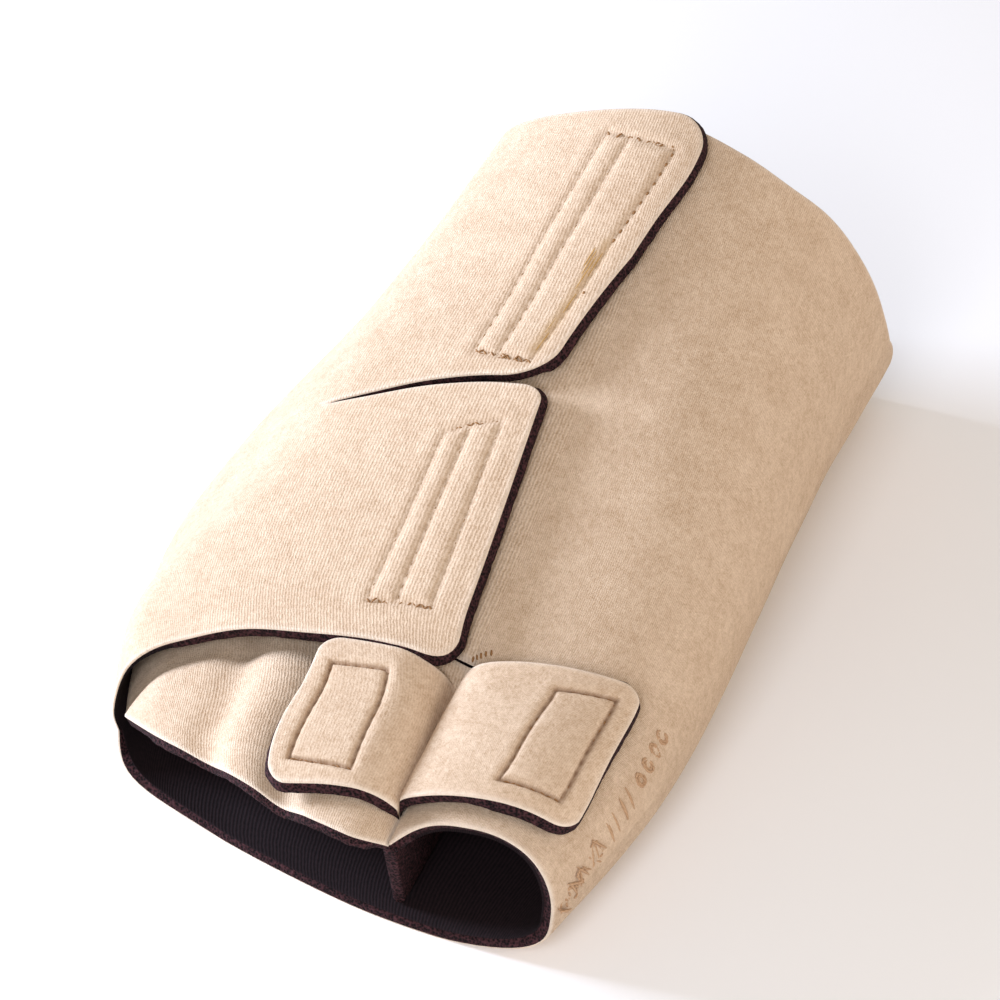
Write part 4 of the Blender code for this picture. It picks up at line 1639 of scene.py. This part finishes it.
    def sew_side(self, laminate: Laminate, finishes: Finishes) -> list[bpy.types.Object]:
        """Lay the seam over the big toe's side and the bar tack in the web.

        Args:
            laminate: The cut that the threads are sewn to.
            finishes: The shared materials.

        Returns:
            The threads.
        """
        maker = StitchMaker(laminate.locate, laminate.height, dip=0.2 * MM)
        lines = (self.zigzag, self.bars, self.loops, self.bar_tack)
        zigzag, bars, loops, tack = (in_metres(line) for line in lines)
        side = [
            Seam(zigzag, StitchKind.ZIGZAG, 1.3, 4.6, 0.24, sink=0.0, wobble=1.1),
            Seam(zigzag, StitchKind.ZIGZAG, 1.9, 3.6, 0.22, sink=0.0, wobble=1.1),
            Seam(zigzag, StitchKind.LOOPS, 2.8, 3.6, 0.2, sink=0.0, wobble=1.1),
            Seam(bars, StitchKind.LADDER, 2.7, 4.6, 0.26, sink=0.0, wobble=0.3),
            Seam(bars, StitchKind.LADDER, 2.7, 3.6, 0.22, sink=0.0, wobble=0.7),
            Seam(loops, StitchKind.LOOPS, 3.0, 3.0, 0.24, fill=0.6, sink=0.0, wobble=0.4),
            Seam(loops, StitchKind.LOOPS, 3.0, 1.8, 0.2, fill=0.4, sink=0.0, wobble=0.4),
        ]
        tack_seam = Seam(tack, StitchKind.LADDER, 0.85, 0.9, 0.24, sink=0.0, wobble=0.3)
        return [
            maker.build("side_seam_threads", side, finishes.tan_thread),
            maker.build("bar_tack_threads", [tack_seam], finishes.brown_thread),
        ]


@dataclass
class LesserCover:
    """The cover over the lesser toes: it sinks between them and is tucked under the lower strap's edge."""

    outer_turn: float = 2.05
    toe_edge: Edge = cut_edge(
        (1.002, -0.514), (1.05, -0.523), (1.10, -0.529), (1.21, -0.526), (1.33, -0.511), (1.43, -0.498),
        (1.57, -0.468), (1.71, -0.445), (1.85, -0.412), (1.95, -0.394), (2.07, -0.380))
    tuck: Edge = cut_edge((1.50, 0.0), (1.75, -0.012), (1.95, -0.030), (2.07, -0.045))
    heel_edge: float = -0.288
    across: int = 80
    lengthwise: int = 34
    # Furrows between the toes, as turns and mm along the wrap
    furrows: tuple[Places, ...] = (((1.285, -53.0), (1.325, -78.0)), ((1.480, -52.0), (1.535, -78.0)))
    furrow_depths: tuple[float, ...] = (2.2 * MM, 2.4 * MM)
    furrow_width: float = 0.050
    toe_flare: float = 0.8 * MM
    flare_place: float = -0.37
    flare_run: float = 0.06
    hem: Edge = cut_edge(
        (1.0, -0.335), (1.38, -0.343), (1.60, -0.360), (1.80, -0.395), (1.92, -0.420))
    hem_drop: float = 1.2 * MM
    hem_run: float = 0.026
    hem_start: float = 1.02
    hem_fade: float = 0.1

    def lift(self, turn: Array, along: Array) -> Array:
        """Sink the face into the furrows and under the strap's hem.

        Args:
            turn: Turns of the places.
            along: Their lengths along the wrap.

        Returns:
            The lifts, in metres.
        """
        place = along / FORM.length
        beside_web = smooth((turn - self.hem_start) / self.hem_fade)
        lift = -self.hem_drop * smooth((place - curve(self.hem, turn)) / self.hem_run) * beside_web
        for furrow, depth in zip(self.furrows, self.furrow_depths):
            (start, first), (end, last) = furrow
            middle = start + (end - start) * (along / MM - first) / (last - first)
            lift -= depth * np.exp(-(((turn - middle) / self.furrow_width) ** 2))
        return lift

    def flare(self, turn: Array, along: Array) -> Array:
        """How far the foam spreads past the knit: along the toes only."""
        toewards = along < self.flare_place * FORM.length
        return self.toe_flare * toewards * smooth((turn - 1.0) / self.flare_run)

    def build(self, finishes: Finishes) -> list[bpy.types.Object]:
        """Make the cover.

        Args:
            finishes: The shared materials.

        Returns:
            The pieces made, the one that stands for a solid first.
        """
        web_side = 1 + WEB_GAP
        turns = list(np.linspace(self.outer_turn, web_side + WEB_OFFSETS[-1], self.across, endpoint=False))
        turns += [web_side + offset for offset in reversed(WEB_OFFSETS)]
        all_turns, all_alongs = [], []
        for turn in turns:
            toe = float(curve(self.toe_edge, turn)) * FORM.length
            heel = (self.heel_edge + float(curve(self.tuck, turn))) * FORM.length
            along = graded(toe, heel, self.lengthwise, True, False)
            all_turns.append(np.full(along.shape, turn))
            all_alongs.append(along)
        laminate = Laminate(
            "lesser_cover_laminate", np.array(all_turns), np.array(all_alongs), self.lift, self.flare)
        piece = laminate.build([finishes.knit, finishes.foam, finishes.lining])
        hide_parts("lesser_toe_cover")
        return [piece]


@dataclass
class Patch:
    """A piece with four corners, which reaches from its root to its free end."""

    name: str
    node: str
    root_toe: EdgePoint
    root_heel: EdgePoint
    free_toe: EdgePoint
    free_heel: EdgePoint

    def at(self, across: Array, up: Array) -> Array:
        """Read places between the corners.

        Args:
            across: Shares of the reach, from the root.
            up: Shares of the length, from the toe side.

        Returns:
            Rows of a turn and a place.
        """
        toe, heel = (
            np.multiply.outer(1 - across, root) + np.multiply.outer(across, free)
            for root, free in ((self.root_toe, self.free_toe), (self.root_heel, self.free_heel)))
        return toe + (heel - toe) * up[:, None]


@dataclass
class ToeTab(Patch):
    """A tab that comes out of the web's crease and lies over a toe cover, with a pad under its free end."""

    bow: float
    pad: Places
    bows: Sequence[float]
    flat: tuple[float, float]
    area: float
    free_spread: float = 0.0
    corner: float = 3.2 * MM
    root_lift: float = 0.9 * MM
    root_rise: float = 1.6 * MM
    rise_reach: float = 9.0 * MM
    rise_power: float = 2.2
    crease_gap: float = 0.06 * MM
    spread: float = 0.55 * MM
    spread_run: float = 0.08
    free_start: float = 0.30
    free_run: float = 0.15
    root_step: float = 0.5 * MM
    step: float = 1.0 * MM
    corner_steps: int = 8
    lengthwise: int = 34

    @property
    def side(self) -> int:
        """Which way the tab goes from the web: 1 towards the big toe's side, -1 towards the lesser toes."""
        return 1 if self.free_toe.turn < 1 else -1

    def locate(self, turn: Array, along: Array, lift: Array) -> Array:
        """Place points over the form, on the tab's own side of the crease.

        Args:
            turn: Turns of the places.
            along: Their lengths along the wrap.
            lift: Their lifts over the form.

        Returns:
            The points.
        """
        points = FORM.surface(turn, along, lift)
        crease = FORM.web * FORM.half_width + self.side * self.crease_gap
        points[..., 0] = self.side * np.maximum(self.side * points[..., 0], self.side * crease)
        return points

    def lift(self, turn: Array, along: Array) -> Array:
        """Lift the face: it rises out of the crease to make room for the pad.

        Args:
            turn: Turns of the places.
            along: Their lengths along the wrap.

        Returns:
            The lifts, in metres.
        """
        share = np.clip(np.abs(turn - self.root_toe.turn) * FORM.quarter_turn / self.rise_reach, 0, 1)
        heel = self.root_heel.place
        toewards = smooth((heel - along / FORM.length) / (heel - self.root_toe.place))
        root = self.root_lift + self.root_rise * toewards
        return root + (Lifts.STRAP - root) * (1 - (1 - share) ** self.rise_power)

    def flare(self, turn: Array, along: Array) -> Array:
        """Spread the foam past the knit: not at all in the crease.

        Args:
            turn: Turns of the places.
            along: Their lengths along the wrap; not used.

        Returns:
            How far it spreads.
        """
        free = smooth((np.abs(turn - 1) - self.free_start) / self.free_run)
        rooted = smooth(np.abs(turn - self.root_toe.turn) / self.spread_run)
        return self.spread * rooted + self.free_spread * free

    def places(self) -> tuple[Array, Array]:
        """Lay out the grid.

        Returns:
            Turns and lengths of its vertices.
        """
        corners = np.array([self.root_toe, self.root_heel, self.free_toe, self.free_heel])
        points = FORM.point(corners[:, 0], corners[:, 1] * FORM.length)
        reach = float(np.linalg.norm((points[2] + points[3] - points[0] - points[1]) / 2))
        length = float(np.linalg.norm(points[1] - points[0]))
        start = self.corner / reach
        rooted = self.rise_reach / 2 / reach
        shares = list(np.arange(0, rooted, self.root_step / reach))
        steps = round((1 - start - rooted) * reach / self.step)
        shares += list(np.linspace(rooted, 1 - start, steps, endpoint=False))
        shares += corner_shares(start, self.corner_steps, reach)
        all_turns, all_alongs = [], []
        for share in sorted(shares):
            inset = corner_inset((1 - share) * reach, self.corner)
            row = graded(inset, length - inset, self.lengthwise, True, True) / length
            spots = self.at(np.full(row.shape, share), row)
            all_turns.append(spots[:, 0] + self.bow * 4 * row * (1 - row) * share)
            all_alongs.append(spots[:, 1] * FORM.length)
        return np.array(all_turns), np.array(all_alongs)

    def build(self, finishes: Finishes) -> list[bpy.types.Object]:
        """Make the tab and its threads.

        Args:
            finishes: The shared materials.

        Returns:
            The pieces made, the one that stands for a solid first.
        """
        corners = in_metres(self.pad)
        sides = zip(corners, corners[1:] + corners[:1], self.bows)
        lines = [bowed(start, end, bow) for start, end, bow in sides]
        outline = [place for line in lines for place in line[:-1]]
        # The tabs' grooves get strong painted shade
        quilt = Quilting(
            strap_face, outline, lines, groove=0.80 * MM, groove_width=0.36 * MM, field_rise=0.16 * MM,
            field_run=1.6 * MM, border_share=1.0, pucker=0.12, shade=0.8)
        turns, alongs = self.places()
        laminate = Laminate(
            self.name, turns, alongs, self.lift, self.flare, locate=self.locate, quilts=[quilt], fine_cuts=3,
            fine_margin=2.0 * MM)
        piece = laminate.build([finishes.napped_knit, finishes.foam, finishes.lining])
        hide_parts(self.node)
        seams = [Seam(line, pitch=2.0, radius=0.14, fill=0.6, sink=0.04) for line in lines]
        seams.append(Seam(lines[2], StitchKind.ZIGZAG, 0.9, 0.4, 0.15, sink=-0.1, wobble=0.4))
        maker = StitchMaker(laminate.locate, laminate.height)
        return [piece, maker.build(f"{self.node}_threads", seams, finishes.brown_thread)]


@dataclass
class HookPad(Patch):
    """Hook tape under a strap or tab: a thin ground with rows of small hooks that face inwards."""

    ground: float = 0.55 * MM
    hook_pitch: float = 1.5 * MM
    hook_radius: float = 0.22 * MM
    hook_taper: float = 0.5
    hook_sides: int = 6
    least_hooks: int = 3
    root_depth: float = 0.8

    def spots(self, across: Array, up: Array, lift: float) -> Array:
        """Points at shares across and along the patch."""
        spots = self.at(across, up)
        return FORM.surface(spots[:, 0], spots[:, 1] * FORM.length, np.full(len(spots), lift))

    def build(self, finishes: Finishes) -> list[bpy.types.Object]:
        """Make the patch.

        Args:
            finishes: The shared materials.

        Returns:
            The pieces made, the one that stands for a solid first.
        """
        top = Lifts.CLEARANCE + Lifts.HOOK
        ends = self.spots(np.array([0.5, 0.5, 0.0, 1.0]), np.array([0.0, 1.0, 0.5, 0.5]), top)
        rows = max(int(np.linalg.norm(ends[1] - ends[0]) / self.hook_pitch), self.least_hooks)
        columns = max(int(np.linalg.norm(ends[3] - ends[2]) / self.hook_pitch), self.least_hooks)
        mesh = bmesh.new()
        bmesh.ops.create_grid(mesh, x_segments=columns * 2, y_segments=rows * 2, size=0.5)
        shares = np.array([vert.co[:2] for vert in mesh.verts]) + 0.5
        bmesh.ops.extrude_face_region(mesh, geom=list(mesh.faces), use_keep_orig=True)
        shares = np.vstack([shares, shares])
        lifts = np.repeat([top, top - self.ground], len(shares) // 2)
        for lift in (top, top - self.ground):
            chosen = lifts == lift
            for vert, point in zip(np.array(mesh.verts)[chosen], self.spots(*shares[chosen].T, lift)):
                vert.co = point
        bmesh.ops.recalc_face_normals(mesh, faces=mesh.faces)
        across, up = np.meshgrid((np.arange(columns) + 0.5) / columns, (np.arange(rows) + 0.5) / rows)
        tips = self.spots(across.ravel(), up.ravel(), Lifts.CLEARANCE)
        bases = self.spots(across.ravel(), up.ravel(), top - self.ground * self.root_depth)
        for tip, base in zip(tips, bases):
            axis = Vector(tip - base)
            turned = axis.to_track_quat("Z", "Y").to_matrix().to_4x4()
            matrix = Matrix.Translation(Vector(tip + base) / 2) @ turned
            bmesh.ops.create_cone(
                mesh, cap_ends=True, segments=self.hook_sides, radius1=self.hook_radius,
                radius2=self.hook_radius * self.hook_taper, depth=axis.length, matrix=matrix)
        piece = finish_mesh(self.name, mesh, [finishes.hook])
        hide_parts(self.node)
        return [piece]


@dataclass
class ToeDivider:
    """The foam strip that stands between the big toe and the second toe."""

    base: float = Lifts.FABRIC + Lifts.CLEARANCE
    toe_base: float = -0.488
    toe_top: float = -0.512
    heel: float = -0.320
    thickness: float = 2.2 * MM
    height_steps: int = 26
    lengthwise: int = 34

    def locate(self, up: Array, along: Array, lift: Array) -> Array:
        """Place points on the strip's big toe side.

        Args:
            up: Shares of its height.
            along: Their lengths along the wrap.
            lift: How far they move aside.

        Returns:
            The points.
        """
        top = FORM.point(np.ones_like(along), along)[..., 2]
        share = smooth((FORM.domes_start - along / FORM.length) / (FORM.domes_start - FORM.domes_full))
        under_web = self.thickness / 2 / math.tan(FORM.web_angle) + Lifts.CLEARANCE / 2
        gap = self.base + (under_web - self.base) * share
        height = self.base + (top - gap - self.base) * up
        aside = FORM.web * FORM.half_width + self.thickness / 2 + lift
        return np.stack([aside + 0 * up, along + 0 * up, height], axis=-1)

    def build(self, finishes: Finishes) -> list[bpy.types.Object]:
        """Make the strip.

        Args:
            finishes: The shared materials.

        Returns:
            The pieces made, the one that stands for a solid first.
        """
        ups, alongs = [], []
        for up in np.linspace(0, 1, self.height_steps):
            toe = (self.toe_base + (self.toe_top - self.toe_base) * up) * FORM.length
            along = graded(toe, self.heel * FORM.length, self.lengthwise, True, False)
            ups.append(np.full(along.shape, up))
            alongs.append(along)
        laminate = Laminate(
            "divider_foam", np.array(ups), np.array(alongs), level, locate=self.locate,
            thickness=self.thickness, edge_radius=0.4 * MM, fuzz_and_highlight_share=0.0, uv_turn=20 * MM)
        piece = laminate.build([finishes.foam] * 3)
        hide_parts("toe_divider")
        return [piece]


class Lamp(NamedTuple):
    """A square soft light: its name, place, side, power in watts and colour as sRGB hex."""

    name: str
    place: tuple[float, float, float]
    side: float
    power: float
    colour: str


@dataclass
class Studio:
    """A pale floor, soft lights and the camera, matched to the photograph."""

    target: tuple[float, float, float] = (0.0, 3 * MM, 22 * MM)
    azimuth: float = 22.0
    elevation: float = 42.0
    distance: float = 720 * MM
    lens: float = 142.8
    sensor: float = 36
    floor_size: float = 3
    lamps: tuple[Lamp, ...] = (
        Lamp("key", (-650 * MM, -80 * MM, 228 * MM), 190 * MM, 9.2, "#DCE8FF"),
        Lamp("front", (60 * MM, -520 * MM, 420 * MM), 240 * MM, 1.7, "#F0F4FF"),
        Lamp("side", (560 * MM, -100 * MM, 240 * MM), 420 * MM, 1.1, "#FFF4EA"),
    )
    air: str = "#FFF3E7"
    air_strength: float = 0.47

    def build(self, finishes: Finishes) -> None:
        """Set up the floor, the lights and the camera.

        Args:
            finishes: The shared materials.
        """
        mesh = bmesh.new()
        bmesh.ops.create_grid(mesh, x_segments=1, y_segments=1, size=self.floor_size)
        finish_mesh("studio_floor", mesh, [finishes.floor])
        for lamp in self.lamps:
            self.light(lamp)
        world = bpy.data.worlds.new("studio_air")
        world.use_nodes = True
        background = world.node_tree.nodes["Background"].inputs
        background["Color"].default_value = linear(self.air)
        background["Strength"].default_value = self.air_strength
        scene = bpy.context.scene
        scene.world = world
        # Plain sRGB keeps the cloth's warm mid-tones
        scene.view_settings.view_transform = "Standard"
        self.camera()

    def light(self, lamp: Lamp) -> None:
        """Add one light that faces the wrap.

        Args:
            lamp: The light.
        """
        data = bpy.data.lights.new(lamp.name, "AREA")
        data.energy = lamp.power
        data.size = lamp.side
        data.color = linear(lamp.colour)[:3]
        light = bpy.data.objects.new(lamp.name, data)
        light.location = lamp.place
        light.rotation_euler = (Vector(self.target) - Vector(lamp.place)).to_track_quat("-Z", "Y").to_euler()
        bpy.context.scene.collection.objects.link(light)

    def camera(self) -> None:
        """Add the camera at the photograph's angle and distance."""
        turn, rise = math.radians(self.azimuth), math.radians(self.elevation)
        back = Vector((math.sin(turn) * math.cos(rise), -math.cos(turn) * math.cos(rise), math.sin(rise)))
        data = bpy.data.cameras.new("photo_camera")
        data.lens = self.lens
        data.sensor_width = self.sensor
        camera = bpy.data.objects.new("photo_camera", data)
        camera.location = Vector(self.target) + back * self.distance
        camera.rotation_euler = back.to_track_quat("Z", "Y").to_euler()
        bpy.context.scene.collection.objects.link(camera)
        bpy.context.scene.camera = camera


BIG_TAB = ToeTab(
    "big_tab_laminate", "big_toe_tab",
    *cut_edge((0.998, -0.479), (0.998, -0.302), (0.300, -0.452), (0.485, -0.258)),
    bow=-0.045, pad=((0.654, -49.5), (0.504, -46.2), (0.390, -68.8), (0.600, -70.2)),
    bows=(0.0, -0.032, 0.0, -0.036), spread=0.15 * MM, free_spread=0.8 * MM,
    flat=(0.031, 0.031), area=0.00085,
)
LESSER_TAB = ToeTab(
    "lesser_tab_laminate", "lesser_toe_tab",
    *cut_edge((1.002, -0.481), (1.002, -0.310), (1.350, -0.505), (1.285, -0.317)),
    bow=0.018, pad=((1.270, -56.0), (1.170, -55.2), (1.172, -75.5), (1.300, -75.8)),
    bows=(0.0, 0.006, 0.0, 0.004), root_lift=-0.8 * MM, root_rise=2.6 * MM,
    rise_reach=12.5 * MM, rise_power=1.4, spread=0.85 * MM,
    flat=(0.026, 0.028), area=0.00069,
)
HOOK_PADS = (
    HookPad(
        "upper_hook_tape", "upper_hook_pad",
        *cut_edge((1.21, 0.048), (1.16, 0.336), (1.085, 0.060), (0.99, 0.322))),
    HookPad(
        "lower_hook_tape", "lower_hook_pad",
        *cut_edge((1.22, -0.263), (1.19, -0.044), (1.09, -0.259), (1.10, -0.024))),
    HookPad(
        "lesser_toe_hook_tape", "lesser_toe_hook_pad",
        *cut_edge((1.18, -0.468), (1.17, -0.341), (1.30, -0.471), (1.27, -0.346))),
    HookPad(
        "big_toe_hook_tape", "big_toe_hook_pad",
        *cut_edge((0.60, -0.436), (0.66, -0.305), (0.38, -0.428), (0.51, -0.285))),
)


def main() -> None:
    """Build every piece in order and report it."""
    logging.basicConfig(level=logging.INFO, format="%(name)s: %(message)s")
    finishes = Finishes()
    slots = {ToeDivider: "dark_foam", HookPad: "hook_tape"}
    for part in (FootWrap(), LesserCover(), BIG_TAB, LESSER_TAB, ToeDivider(), *HOOK_PADS):
        pieces = part.build(finishes)
        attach(pieces[0], "root")
        slots.get(type(part), "loop_laminate")
        for piece in pieces:
            log.info("%s: %d faces", piece.name, len(piece.data.polygons))
    Studio().build(finishes)


if __name__ == "__main__":
    main()
